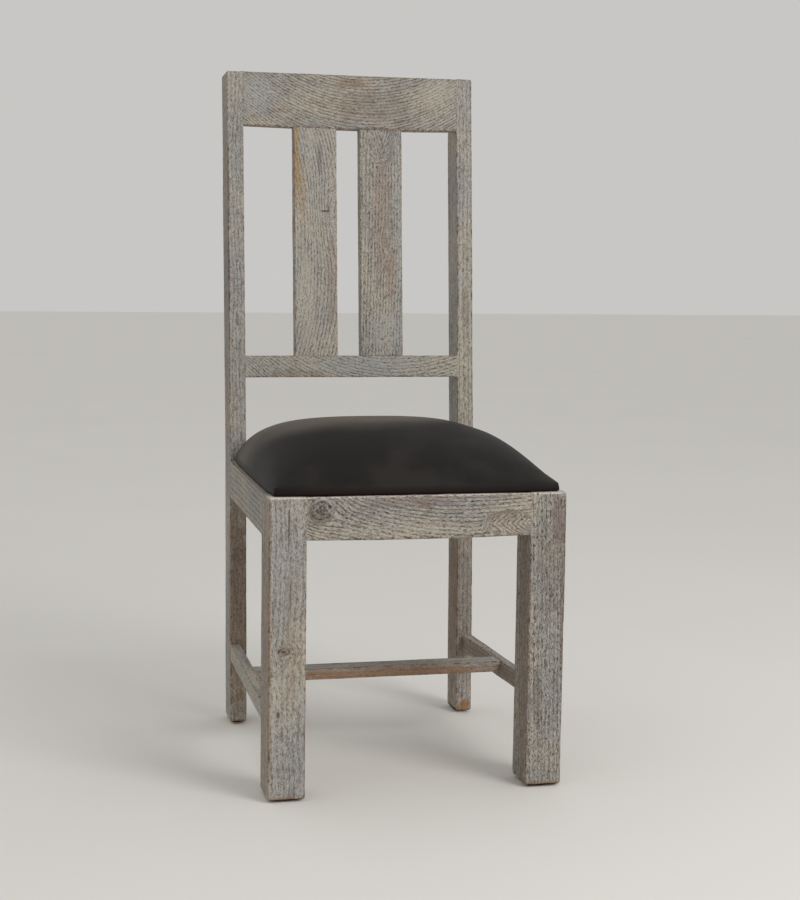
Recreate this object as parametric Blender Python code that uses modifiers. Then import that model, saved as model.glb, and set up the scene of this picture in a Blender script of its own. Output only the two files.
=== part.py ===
"""A whitewashed dining chair with a domed leather seat, built piece by piece.

Sizes are in metres. The origin is on the floor under the middle of the chair, +Z is up, the front of the
chair faces -Y and +X is on the right of someone who looks at its front.
"""
import math

import bmesh
import bpy
from mathutils import Vector

# Clearance between two pieces that meet
FIT = 0.0003

# The whole chair
CHAIR_HEIGHT = 1.100
FRONT_WIDTH = 0.450
REAR_WIDTH = 0.426
SEAT_DEPTH = 0.516          # front face of the legs to rear face of the posts, level with the seat
SEAT_FRAME_TOP = 0.450
BACK_LEAN = 0.053           # how far the back leans from the seat frame to its top
FOOT_SWEEP = 0.015          # how far the posts come forward from the seat frame to the floor

# Legs and posts
LEG_WIDTH = 0.056
LEG_DEPTH = 0.066
POST_WIDTH = 0.028
POST_DEPTH = 0.058
FOOT_CHAMFER = 0.0045
ARRIS = 0.0014              # worn radius along the edges of every wooden piece
ARRIS_STEPS = 2
SHARP_ANGLE = math.radians(30)

# Seat frame
APRON_HEIGHT = 0.063
APRON_THICKNESS = 0.022
REAR_APRON_SET_BACK = 0.001
APRON_TENON = 0.025

# Back
CREST_HEIGHT = 0.089
LOWER_RAIL_RISE = 0.140     # seat frame to the underside of the lower rail, along the back
LOWER_RAIL_HEIGHT = 0.037
BACK_RAIL_THICKNESS = 0.023
SLAT_WIDTH = 0.074
SLAT_GAP = 0.040
SLAT_THICKNESS = 0.020
SLAT_SET_BACK = 0.001
SLAT_SHIFT = -0.006         # the pair of slats stands a little left of the middle
SLAT_TENON = 0.012

# Stretchers
STRETCHER_TOP = 0.138
SIDE_STRETCHER_HEIGHT = 0.028
SIDE_STRETCHER_THICKNESS = 0.017
STRETCHER_TENON = 0.015
CROSS_STRETCHER_PLACE = 0.245   # front of the chair to the front edge of the cross stretcher
CROSS_STRETCHER_WIDTH = 0.038
CROSS_STRETCHER_THICKNESS = 0.018
CROSS_TENON = 0.009

# Tenons
TENON_THICKNESS = 0.008
TENON_SHOULDER = 0.005
TENON_SKIN = 0.005          # outer face of a side rail to the outer face of its tenon
TENON_WALL = 0.004          # wood left between two mortises in a post
POST_SKIN = 0.012           # wood left behind a mortise in a post
TENON_ROOT = 0.004          # how far a tenon's solid runs back into its rail

# Corner blocks and their screws
BLOCK_HEIGHT = 0.030
BLOCK_THICKNESS = 0.022
BLOCK_CLEAR = 0.003         # inner corner of the leg or post to the block
BLOCK_DROP = 0.0006
SCREW_RADIUS = 0.002
SCREW_HEAD_RADIUS = 0.004
SCREW_HEAD_HEIGHT = 0.0024
SCREW_BITE = 0.006          # screw length in the seat board
SCREW_TIP = 0.002

# Seat pad
PAD_INSET = 0.004           # outer faces of the frame to the sides of the pad
PAD_FRONT_INSET = 0.0065
COVER_THICKNESS = 0.0012
COVER_TURN_IN = 0.038       # width of cover turned in under the board
BOARD_THICKNESS = 0.008
FOAM_EDGE = 0.0015          # height of the foam's own edge
CROWN_HEIGHT = 0.073        # rim to the top of the dome
CORNER_PULL = 0.02          # share by which a corner of the pad is drawn in
CORNER_POWER = 8            # how close to the corners that stays
CROWN_SIDE = (4.0, 0.52)    # the two powers that shape the dome towards its sides
CROWN_FRONT = (1.75, 0.72)
CROWN_REAR = (4.6, 0.42)
DOME_CELLS = 20

# Staples under the board
STAPLE_WIDTH = 0.010
STAPLE_WIRE = 0.0009
STAPLE_LEG = 0.005
STAPLE_INSET = 0.028        # edge of the board to the row of staples
STAPLE_PITCH = 0.044
STAPLES_ACROSS = 3
STAPLES_ALONG = 4

# Glides
GLIDE_RADIUS = 0.009
GLIDE_THICKNESS = 0.003
GLIDE_EDGE = 0.0006
PIN_RADIUS = 0.0012
PIN_HEAD_RADIUS = 0.003
PIN_HEAD_HEIGHT = 0.0009
PIN_RECESS = 0.0004         # floor to the pin's head
PIN_LENGTH = 0.013
TURNED_STEPS = 20
MERGE_DISTANCE = 0.00001

# Worked out from the sizes above
BACK_HEIGHT = CHAIR_HEIGHT - SEAT_FRAME_TOP
BACK_ANGLE = math.atan2(BACK_LEAN, BACK_HEIGHT)
BACK_LENGTH = BACK_HEIGHT / math.cos(BACK_ANGLE)
OVERALL_DEPTH = SEAT_DEPTH - POST_DEPTH + BACK_LEAN + POST_DEPTH * math.cos(BACK_ANGLE)
FRONT = -OVERALL_DEPTH / 2
LEG_BACK = FRONT + LEG_DEPTH
POST_FRONT = FRONT + SEAT_DEPTH - POST_DEPTH
FOOT = GLIDE_THICKNESS + FIT
APRON_BOTTOM = SEAT_FRAME_TOP - APRON_HEIGHT
REAR_APRON_FRONT = POST_FRONT + REAR_APRON_SET_BACK
RAIL_TENON = POST_WIDTH - POST_SKIN
REAR_APRON_TENON = POST_WIDTH - TENON_SKIN - TENON_THICKNESS - TENON_WALL
PAD_SKIN = COVER_THICKNESS + FIT
BOARD_BOTTOM = SEAT_FRAME_TOP + FIT + PAD_SKIN
BOARD_TOP = BOARD_BOTTOM + BOARD_THICKNESS
FOAM_BOTTOM = BOARD_TOP + FIT
FOAM_RIM = FOAM_BOTTOM + FOAM_EDGE
RIM = FOAM_RIM + COVER_THICKNESS
PAD_FRONT = FRONT + PAD_FRONT_INSET
PAD_BACK = POST_FRONT - FIT

# Colours, each with its roughness and metallic value
WASHED_WOOD = ((0.52, 0.48, 0.42), 0.80, 0.0)
BARE_WOOD = ((0.36, 0.25, 0.16), 0.75, 0.0)
PLYWOOD = ((0.55, 0.42, 0.28), 0.80, 0.0)
DARK_LEATHER = ((0.035, 0.029, 0.026), 0.45, 0.0)
PALE_FOAM = ((0.78, 0.72, 0.55), 0.95, 0.0)
BRIGHT_STEEL = ((0.60, 0.60, 0.60), 0.35, 1.0)
DARK_PLASTIC = ((0.03, 0.03, 0.03), 0.50, 0.0)


def clear_scene():
    """Remove every object, so that the chair is the only thing in the file."""
    for item in list(bpy.data.objects):
        bpy.data.objects.remove(item, do_unlink=True)


def new_collection(name):
    """Make a collection under the scene's own."""
    collection = bpy.data.collections.new(name)
    bpy.context.scene.collection.children.link(collection)
    return collection


def paint(item, look):
    """Give an object a material of its own."""
    colour, roughness, metallic = look
    material = bpy.data.materials.new(item.name)
    material.use_nodes = True
    shader = material.node_tree.nodes["Principled BSDF"]
    shader.inputs["Base Color"].default_value = (*colour, 1.0)
    shader.inputs["Roughness"].default_value = roughness
    shader.inputs["Metallic"].default_value = metallic
    item.data.materials.clear()
    item.data.materials.append(material)


def place_mesh(name, data, place, helper=False):
    """An object that shows a mesh at a place."""
    item = bpy.data.objects.new(name, data)
    item.location = place
    (CUTTERS if helper else CHAIR).objects.link(item)
    if helper:
        item.hide_render = True
        item.display_type = "WIRE"
    return item


def object_from(mesh, name, parent=None, helper=False):
    """Turn a bmesh into an object, in the chair or among the cutters."""
    mesh.normal_update()
    bmesh.ops.recalc_face_normals(mesh, faces=mesh.faces[:])
    data = bpy.data.meshes.new(name)
    mesh.to_mesh(data)
    mesh.free()
    item = place_mesh(name, data, (0, 0, 0), helper)
    item.parent = parent
    return item


def column(name, rings, parent=None, helper=False):
    """Make a four-sided solid through rings; each ring gives a point for (right, back) as 0 or 1."""
    mesh = bmesh.new()
    bmesh.ops.create_cube(mesh, size=1.0)
    steps = len(rings) - 1
    for step in range(1, steps):
        everything = mesh.verts[:] + mesh.edges[:] + mesh.faces[:]
        level = step / steps - 0.5
        bmesh.ops.bisect_plane(mesh, geom=everything, plane_co=(0, 0, level), plane_no=(0, 0, 1))
    for vertex in mesh.verts:
        ring = rings[round((vertex.co.z + 0.5) * steps)]
        vertex.co = ring(int(vertex.co.x > 0), int(vertex.co.y > 0))
    return object_from(mesh, name, parent, helper)


def box_rings(x, y, z):
    """The two rings of a plain box between pairs of x, y and z."""
    return [lambda i, j, height=height: Vector((x[i], y[j], height)) for height in z]


def widened(pair, clearance):
    """A pair of limits, each moved outwards by a clearance."""
    return (min(pair) - clearance, max(pair) + clearance)


def bevel(item):
    """Round the edges of a wooden piece."""
    modifier = item.modifiers.new("arris", "BEVEL")
    modifier.width = ARRIS
    modifier.segments = ARRIS_STEPS
    modifier.limit_method = "ANGLE"
    modifier.angle_limit = SHARP_ANGLE


def combine(item, other, operation):
    """Add another object to a piece, or cut it away, with an exact Boolean."""
    modifier = item.modifiers.new(other.name, "BOOLEAN")
    modifier.operation = operation
    modifier.solver = "EXACT"
    modifier.object = other


def tenon(item, host, name, rings_for, parent=None):
    """Add a tenon to a piece and cut its mortise in the piece that it enters.

    rings_for gives the rings of the tenon for a clearance around it.
    """
    combine(item, column(name, rings_for(0.0), parent, helper=True), "UNION")
    combine(host, column(name + "_mortise", rings_for(FIT), parent, helper=True), "DIFFERENCE")


def post_front(height):
    """The y of a post's front face at a height."""
    if height > SEAT_FRAME_TOP:
        return POST_FRONT + BACK_LEAN * (height - SEAT_FRAME_TOP) / BACK_HEIGHT
    return POST_FRONT - FOOT_SWEEP * (SEAT_FRAME_TOP - height) / SEAT_FRAME_TOP


def side_face(y, height):
    """The half width of the chair at a place between the leg and the post."""
    share = (y - LEG_BACK) / (post_front(height) - LEG_BACK)
    return FRONT_WIDTH / 2 + (REAR_WIDTH - FRONT_WIDTH) / 2 * share


def side_rings(side, inward, ends, heights):
    """The rings of a side rail: its depth inward of the outer face, and its ends as functions of height."""
    def ring(height):
        def point(i, j):
            y = ends[j](height)
            return Vector((side * (side_face(y, height) - inward[i]), y, height))
        return point
    return [ring(height) for height in heights]


def make_leg(side, name):
    """A straight front leg with a chamfered foot."""
    outer = side * FRONT_WIDTH / 2
    x = (outer, outer - side * LEG_WIDTH)
    y = (FRONT, LEG_BACK)
    small_x = (outer - side * FOOT_CHAMFER, x[1] + side * FOOT_CHAMFER)
    small_y = (FRONT + FOOT_CHAMFER, LEG_BACK - FOOT_CHAMFER)
    rings = box_rings(small_x, small_y, (FOOT,)) + box_rings(x, y, (FOOT + FOOT_CHAMFER, SEAT_FRAME_TOP))
    leg = column(name, rings)
    bevel(leg)
    return leg


def make_post(side, name):
    """A rear post that bends at the seat frame and leans back above it."""
    outer = side * REAR_WIDTH / 2
    x = (outer, outer - side * POST_WIDTH)
    small_x = (outer - side * FOOT_CHAMFER, x[1] + side * FOOT_CHAMFER)
    sweep = math.atan2(FOOT_SWEEP, SEAT_FRAME_TOP)
    half_bend = (sweep + BACK_ANGLE) / 2
    bend_depth = POST_DEPTH / math.cos((BACK_ANGLE - sweep) / 2)
    foot_depth = POST_DEPTH / math.cos(sweep)

    def foot(i, j):
        y = post_front(FOOT) + foot_depth * j
        return Vector((small_x[i], y + FOOT_CHAMFER * (1 - 2 * j), FOOT))

    def ankle(i, j):
        height = FOOT + FOOT_CHAMFER
        return Vector((x[i], post_front(height) + foot_depth * j, height))

    def waist(i, j):
        y = POST_FRONT + bend_depth * j * math.cos(half_bend)
        return Vector((x[i], y, SEAT_FRAME_TOP - bend_depth * j * math.sin(half_bend)))

    def head(i, j):
        y = post_front(CHAIR_HEIGHT) + POST_DEPTH * j * math.cos(BACK_ANGLE)
        return Vector((x[i], y, CHAIR_HEIGHT - POST_DEPTH * j * math.sin(BACK_ANGLE)))

    post = column(name, [foot, ankle, waist, head])
    bevel(post)
    return post


def make_back(posts):
    """The crest rail, the lower rail and the two slats, in the plane of the leaning back."""
    back = bpy.data.objects.new("back_plane", None)
    CHAIR.objects.link(back)
    back.location = (0, POST_FRONT, SEAT_FRAME_TOP)
    back.rotation_euler = (-BACK_ANGLE, 0, 0)
    half = REAR_WIDTH / 2 - POST_WIDTH
    crest_low = BACK_LENGTH - CREST_HEIGHT
    lower_top = LOWER_RAIL_RISE + LOWER_RAIL_HEIGHT
    middle = BACK_RAIL_THICKNESS / 2
    y = (middle - TENON_THICKNESS / 2, middle + TENON_THICKNESS / 2)
    levels = {"crest_rail": (crest_low, BACK_LENGTH), "lower_back_rail": (LOWER_RAIL_RISE, lower_top)}
    rails = []
    for name, (low, high) in levels.items():
        x = (-half + FIT, half - FIT)
        rail = column(name, box_rings(x, (0, BACK_RAIL_THICKNESS), (low, high)), back)
        bevel(rail)
        rails.append(rail)
        for side, post in posts.items():
            z = (low + TENON_SHOULDER, high - TENON_SHOULDER)
            reach = (side * (half - TENON_ROOT), side * (half + RAIL_TENON - FIT))

            def rings_for(gap, reach=reach, z=z):
                return box_rings(widened(reach, gap), widened(y, gap), widened(z, gap))
            tenon(rail, post, f"{name}_tenon_{post.name}", rings_for, back)
    crest, lower = rails
    slat_y = (SLAT_SET_BACK, SLAT_SET_BACK + SLAT_THICKNESS)
    for side, name in ((-1, "back_slat_left"), (1, "back_slat_right")):
        inner = SLAT_SHIFT + side * SLAT_GAP / 2
        outer = inner + side * SLAT_WIDTH
        slat = column(name, box_rings((inner, outer), slat_y, (lower_top + FIT, crest_low - FIT)), back)
        bevel(slat)
        x = (min(inner, outer) + TENON_SHOULDER, max(inner, outer) - TENON_SHOULDER)
        for host, shoulder, way in ((crest, crest_low, 1), (lower, lower_top, -1)):
            reach = (shoulder - way * TENON_ROOT, shoulder + way * (SLAT_TENON - FIT))

            def slat_rings_for(gap, reach=reach, x=x):
                return box_rings(widened(x, gap), widened(y, gap), widened(reach, gap))
            tenon(slat, host, f"{name}_tenon_{host.name}", slat_rings_for, back)
        paint(slat, WASHED_WOOD)
    for rail in rails:
        paint(rail, WASHED_WOOD)


def make_end_aprons(legs, posts):
    """The front apron between the legs and the rear apron between the posts."""
    aprons = (
        ("front_apron", legs, FRONT, FRONT_WIDTH / 2 - LEG_WIDTH, APRON_TENON),
        ("rear_apron", posts, REAR_APRON_FRONT, REAR_WIDTH / 2 - POST_WIDTH, REAR_APRON_TENON),
    )
    for name, hosts, face, half, length in aprons:
        x = (-half + FIT, half - FIT)
        y = (face, face + APRON_THICKNESS)
        apron = column(name, box_rings(x, y, (APRON_BOTTOM, SEAT_FRAME_TOP)))
        bevel(apron)
        middle = face + APRON_THICKNESS / 2
        thick = (middle - TENON_THICKNESS / 2, middle + TENON_THICKNESS / 2)
        z = (APRON_BOTTOM + TENON_SHOULDER, SEAT_FRAME_TOP - TENON_SHOULDER)
        for side, host in hosts.items():
            reach = (side * (half - TENON_ROOT), side * (half + length - FIT))

            def rings_for(gap, reach=reach, thick=thick, z=z):
                return box_rings(widened(reach, gap), widened(thick, gap), widened(z, gap))
            tenon(apron, host, f"{name}_tenon_{host.name}", rings_for)
        paint(apron, WASHED_WOOD)


def make_side_rail(side, name, leg, post, thickness, heights, length):
    """An apron or stretcher between a leg and a post, flush with their outer faces."""
    body_ends = (lambda z: LEG_BACK + FIT, lambda z: post_front(z) - FIT)
    rail = column(name, side_rings(side, (0, thickness), body_ends, heights))
    bevel(rail)
    skin = min(TENON_SKIN, (thickness - TENON_THICKNESS) / 2)
    depth = (skin, skin + TENON_THICKNESS)
    z = (heights[0] + TENON_SHOULDER, heights[1] - TENON_SHOULDER)
    tip = length - FIT
    reaches = (
        (leg, lambda z, gap: LEG_BACK - tip - gap, lambda z, gap: LEG_BACK + TENON_ROOT + gap),
        (post, lambda z, gap: post_front(z) - TENON_ROOT - gap, lambda z, gap: post_front(z) + tip + gap),
    )
    for host, near, far in reaches:
        def rings_for(gap, near=near, far=far):
            ends = (lambda z: near(z, gap), lambda z: far(z, gap))
            return side_rings(side, widened(depth, gap), ends, widened(z, gap))
        tenon(rail, host, f"{name}_tenon_{host.name}", rings_for)
    paint(rail, WASHED_WOOD)
    return rail


def make_cross_stretcher(stretchers):
    """The flat rail that joins the two side stretchers, level with their tops."""
    front = FRONT + CROSS_STRETCHER_PLACE
    back = front + CROSS_STRETCHER_WIDTH
    low = STRETCHER_TOP - CROSS_STRETCHER_THICKNESS
    middle = (low + STRETCHER_TOP) / 2

    def shoulder(y, height):
        return side_face(y, height) - SIDE_STRETCHER_THICKNESS

    def ring(height):
        def point(i, j):
            y = (front, back)[j]
            return Vector(((2 * i - 1) * (shoulder(y, height) - FIT), y, height))
        return point

    rail = column("cross_stretcher", [ring(low), ring(STRETCHER_TOP)])
    bevel(rail)
    for side, host in stretchers.items():
        def rings_for(gap, side=side):
            y = widened((front + TENON_SHOULDER, back - TENON_SHOULDER), gap)
            z = widened((middle - TENON_THICKNESS / 2, middle + TENON_THICKNESS / 2), gap)
            reach = widened((-TENON_ROOT, CROSS_TENON - FIT), gap)

            def point(i, j, height):
                return Vector((side * (shoulder(y[j], height) + reach[i]), y[j], height))
            return [lambda i, j, height=height: point(i, j, height) for height in z]
        tenon(rail, host, f"cross_tenon_{host.name}", rings_for)
    paint(rail, WASHED_WOOD)


def turned(profile):
    """The mesh of a profile of (radius, height) turned about Z, closed on itself or on the axis."""
    mesh = bmesh.new()
    points = [mesh.verts.new((radius, 0, height)) for radius, height in profile]
    for first, second in zip(points, points[1:]):
        mesh.edges.new((first, second))
    item = object_from(mesh, "profile", helper=True)
    screw = item.modifiers.new("turn", "SCREW")
    screw.steps = TURNED_STEPS
    screw.render_steps = TURNED_STEPS
    screw.use_merge_vertices = True
    screw.merge_threshold = MERGE_DISTANCE
    depsgraph = bpy.context.evaluated_depsgraph_get()
    data = bpy.data.meshes.new_from_object(item.evaluated_get(depsgraph))
    bpy.data.objects.remove(item, do_unlink=True)
    data.shade_smooth()
    data.set_sharp_from_angle(angle=SHARP_ANGLE)
    return data


def rod(name, radius, low, high, place):
    """A round cutter."""
    profile = [(0, high), (radius, high), (radius, low), (0, low)]
    return place_mesh(name, turned(profile), place, helper=True)


def diagonal_meets(corner, way, offset, line):
    """Where the 45 degree line past an inner corner meets a frame face given as a point and a direction."""
    start = Vector(corner) + Vector(way).normalized() * offset
    along = Vector((-way[1], way[0]))
    point, direction = Vector(line[0]), Vector(line[1])
    share = (point - start).cross(direction) / along.cross(direction)
    return start + along * share


def make_corner_block(number, side, end, host_corner, apron_y):
    """A block across a corner of the seat frame; end is -1 at the front and 1 at the rear."""
    way = (-side, -end)
    high = SEAT_FRAME_TOP - BLOCK_DROP
    low = high - BLOCK_HEIGHT
    inner = APRON_THICKNESS + FIT
    near = Vector((side * (side_face(LEG_BACK, high) - inner), LEG_BACK))
    far = Vector((side * (side_face(POST_FRONT, high) - inner), POST_FRONT))
    faces = (((0, apron_y), (1, 0)), (near, far - near))

    def ring(height):
        def point(i, j):
            offset = BLOCK_CLEAR + BLOCK_THICKNESS * j
            return diagonal_meets(host_corner, way, offset, faces[i]).to_3d() + Vector((0, 0, height))
        return point

    block = column(f"corner_block_{number}", [ring(low), ring(high)])
    middle = Vector((0, 0))
    for i in (0, 1):
        for j in (0, 1):
            middle += ring(0)(i, j).to_2d() / 4
    place = middle.to_3d()
    hole = SCREW_RADIUS + FIT
    sink = SCREW_HEAD_RADIUS + FIT
    profile = [
        (0, high + FIT), (hole, high + FIT), (hole, low + SCREW_HEAD_HEIGHT + FIT), (sink, low + 2 * FIT),
        (sink, low - FIT), (0, low - FIT),
    ]
    combine(block, place_mesh(f"block_hole_{number}", turned(profile), place, helper=True), "DIFFERENCE")
    paint(block, BARE_WOOD)
    return place


def make_corner_blocks():
    """The four corner blocks; returns where their screws stand."""
    leg_x = FRONT_WIDTH / 2 - LEG_WIDTH
    post_x = REAR_WIDTH / 2 - POST_WIDTH
    front_face = FRONT + APRON_THICKNESS + FIT
    rear_face = REAR_APRON_FRONT - FIT
    rear_corner = post_front(SEAT_FRAME_TOP - BLOCK_DROP - BLOCK_HEIGHT)
    places = []
    number = 0
    for side in (-1, 1):
        number += 1
        places.append(make_corner_block(number, side, -1, (side * leg_x, LEG_BACK), front_face))
        number += 1
        places.append(make_corner_block(number, side, 1, (side * post_x, rear_corner), rear_face))
    return places


def make_seat_screws(board, cover, places):
    """Countersunk screws, up through the corner blocks and the turned-in cover into the board."""
    low = SEAT_FRAME_TOP - BLOCK_DROP - BLOCK_HEIGHT
    high = BOARD_BOTTOM + SCREW_BITE
    profile = [
        (0, high), (SCREW_RADIUS, high - SCREW_TIP), (SCREW_RADIUS, low + SCREW_HEAD_HEIGHT),
        (SCREW_HEAD_RADIUS, low + FIT), (SCREW_HEAD_RADIUS - FIT, low), (0, low),
    ]
    data = turned(profile)
    for number, place in enumerate(places):
        screw = place_mesh(f"seat_screw_{number + 1}", data.copy(), place)
        paint(screw, BRIGHT_STEEL)
        hole = rod(f"board_hole_{number + 1}", SCREW_RADIUS + FIT, SEAT_FRAME_TOP, high + FIT, place)
        combine(board, hole, "DIFFERENCE")
        combine(cover, hole, "DIFFERENCE")


def pad_point(across, along, inset):
    """A point of the pad's outline, for shares of -1 to 1 across and from the front to the rear."""
    middle = (PAD_FRONT + PAD_BACK) / 2
    half_depth = (PAD_BACK - PAD_FRONT) / 2 - inset
    half_width = (FRONT_WIDTH + REAR_WIDTH) / 4 - (FRONT_WIDTH - REAR_WIDTH) / 4 * along - PAD_INSET - inset
    x = across * half_width * (1 - CORNER_PULL * abs(along) ** CORNER_POWER)
    y = middle + along * half_depth * (1 - CORNER_PULL * abs(across) ** CORNER_POWER)
    return x, y


def crown(across, along):
    """The dome's height at a place, as a share of its top."""
    wide = (1 - abs(across) ** CROWN_SIDE[0]) ** CROWN_SIDE[1]
    power, curve = CROWN_FRONT if along < 0 else CROWN_REAR
    return wide * (1 - abs(along) ** power) ** curve


def dome(inset, rim, height):
    """An open domed sheet with the pad's outline."""
    mesh = bmesh.new()
    bmesh.ops.create_grid(mesh, x_segments=DOME_CELLS, y_segments=DOME_CELLS, size=1.0)
    for vertex in mesh.verts:
        across = math.sin(math.pi / 2 * vertex.co.x)
        along = math.sin(math.pi / 2 * vertex.co.y)
        x, y = pad_point(across, along, inset)
        vertex.co = (x, y, rim + height * crown(across, along))
    return mesh


def edge_loop(mesh):
    """The edges on the open border of a sheet."""
    return [edge for edge in mesh.edges if edge.is_boundary]


def drop_edge(mesh, place):
    """Extrude the open border of a sheet and put each new vertex where place says."""
    made = bmesh.ops.extrude_edge_only(mesh, edges=edge_loop(mesh))["geom"]
    for vertex in made:
        if isinstance(vertex, bmesh.types.BMVert):
            vertex.co = place(vertex.co)


def make_cover():
    """The leather: a dome, a short upright edge and a strip turned in under the board."""
    mesh = dome(0.0, RIM, CROWN_HEIGHT)
    bottom = SEAT_FRAME_TOP + FIT
    middle = (PAD_FRONT + PAD_BACK) / 2
    share_y = 1 - COVER_TURN_IN / ((PAD_BACK - PAD_FRONT) / 2)
    share_x = 1 - COVER_TURN_IN / (REAR_WIDTH / 2 - PAD_INSET)
    drop_edge(mesh, lambda at: Vector((at.x, at.y, bottom)))
    drop_edge(mesh, lambda at: Vector((at.x * share_x, middle + (at.y - middle) * share_y, bottom)))
    cover = object_from(mesh, "seat_cover")
    cover.data.shade_smooth()
    skin = cover.modifiers.new("leather", "SOLIDIFY")
    skin.thickness = COVER_THICKNESS
    skin.offset = -1
    skin.use_even_offset = True
    paint(cover, DARK_LEATHER)
    return cover


def make_board():
    """The plywood board under the padding."""
    def ring(height):
        def point(i, j):
            x, y = pad_point(1, 2 * j - 1, PAD_SKIN)
            return Vector(((2 * i - 1) * x, y, height))
        return point

    board = column("seat_board", [ring(BOARD_BOTTOM), ring(BOARD_TOP)])
    paint(board, PLYWOOD)
    return board


def make_foam():
    """The foam between the board and the cover."""
    mesh = dome(PAD_SKIN, FOAM_RIM, CROWN_HEIGHT - 2 * FIT)
    drop_edge(mesh, lambda at: Vector((at.x, at.y, FOAM_BOTTOM)))
    bmesh.ops.holes_fill(mesh, edges=edge_loop(mesh))
    foam = object_from(mesh, "seat_foam")
    paint(foam, PALE_FOAM)


def staple_places():
    """Where the staples stand, each with the turn that it has about Z."""
    places = []
    for number in range(STAPLES_ACROSS):
        x = (number - (STAPLES_ACROSS - 1) / 2) * STAPLE_PITCH
        places.append((x, PAD_FRONT + STAPLE_INSET, 0))
        places.append((x, PAD_BACK - STAPLE_INSET, 0))
    for number in range(STAPLES_ALONG):
        y = (LEG_BACK + POST_FRONT) / 2 + (number - (STAPLES_ALONG - 1) / 2) * STAPLE_PITCH
        x = side_face(y, SEAT_FRAME_TOP) - PAD_INSET - STAPLE_INSET
        places.append((-x, y, math.pi / 2))
        places.append((x, y, math.pi / 2))
    return places


def staple_wire():
    """The bent wire of one staple, with its crown along X just under the cover."""
    wire = bpy.data.curves.new("staple", "CURVE")
    wire.dimensions = "3D"
    wire.bevel_depth = STAPLE_WIRE / 2
    wire.bevel_resolution = 1
    wire.use_fill_caps = True
    half = (STAPLE_WIDTH - STAPLE_WIRE) / 2
    low = SEAT_FRAME_TOP - STAPLE_WIRE / 2
    high = BOARD_BOTTOM + STAPLE_LEG
    spline = wire.splines.new("POLY")
    spline.points.add(3)
    for point, (x, z) in zip(spline.points, ((-half, high), (-half, low), (half, low), (half, high))):
        point.co = (x, 0, z, 1)
    return wire


def staple_slots():
    """The slots that a staple's two legs need in the cover and the board."""
    mesh = bmesh.new()
    half = STAPLE_WIRE / 2 + FIT
    z = (SEAT_FRAME_TOP, BOARD_BOTTOM + STAPLE_LEG + FIT)
    for end in (-1, 1):
        middle = end * (STAPLE_WIDTH - STAPLE_WIRE) / 2
        for vertex in bmesh.ops.create_cube(mesh, size=2.0)["verts"]:
            vertex.co = (middle + half * vertex.co.x, half * vertex.co.y, z[int(vertex.co.z > 0)])
    return object_from(mesh, "staple_slots", helper=True)


def make_staples(cover, board):
    """Staples through the turned-in cover into the board, in slots of their own."""
    wire = staple_wire()
    first = staple_slots()
    for number, (x, y, turn) in enumerate(staple_places()):
        staple = place_mesh(f"cover_staple_{number + 1}", wire.copy(), (x, y, 0))
        staple.rotation_euler = (0, 0, turn)
        paint(staple, BRIGHT_STEEL)
        slots = place_mesh(f"staple_slots_{number + 1}", first.data, (x, y, 0), helper=True)
        slots.rotation_euler = (0, 0, turn)
        combine(cover, slots, "DIFFERENCE")
        combine(board, slots, "DIFFERENCE")
    bpy.data.objects.remove(first, do_unlink=True)


def make_glides(feet):
    """A plastic glide and its pin under each foot, and the pin's hole in the foot."""
    bore = PIN_RADIUS + FIT
    seat = PIN_HEAD_RADIUS + FIT
    ledge = PIN_RECESS + PIN_HEAD_HEIGHT + FIT
    top = GLIDE_THICKNESS
    flat = GLIDE_RADIUS - GLIDE_EDGE
    disc = [
        (bore, top), (flat, top), (GLIDE_RADIUS, top - GLIDE_EDGE), (GLIDE_RADIUS, GLIDE_EDGE),
        (flat, 0), (seat, 0), (seat, ledge), (bore, ledge), (bore, top),
    ]
    disc_data = turned(disc)
    head = PIN_RECESS + PIN_HEAD_HEIGHT
    tip = PIN_RECESS + PIN_LENGTH
    pin = [
        (0, tip), (PIN_RADIUS, tip - 2 * PIN_RADIUS), (PIN_RADIUS, head), (PIN_HEAD_RADIUS, head),
        (PIN_HEAD_RADIUS, PIN_RECESS), (0, PIN_RECESS),
    ]
    pin_data = turned(pin)
    for number, (foot, x, y) in enumerate(feet):
        place = (x, y, 0)
        paint(place_mesh(f"foot_glide_{number + 1}", disc_data.copy(), place), DARK_PLASTIC)
        paint(place_mesh(f"glide_pin_{number + 1}", pin_data.copy(), place), BRIGHT_STEEL)
        combine(foot, rod(f"pin_hole_{number + 1}", bore, 0, tip + FIT, place), "DIFFERENCE")


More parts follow.
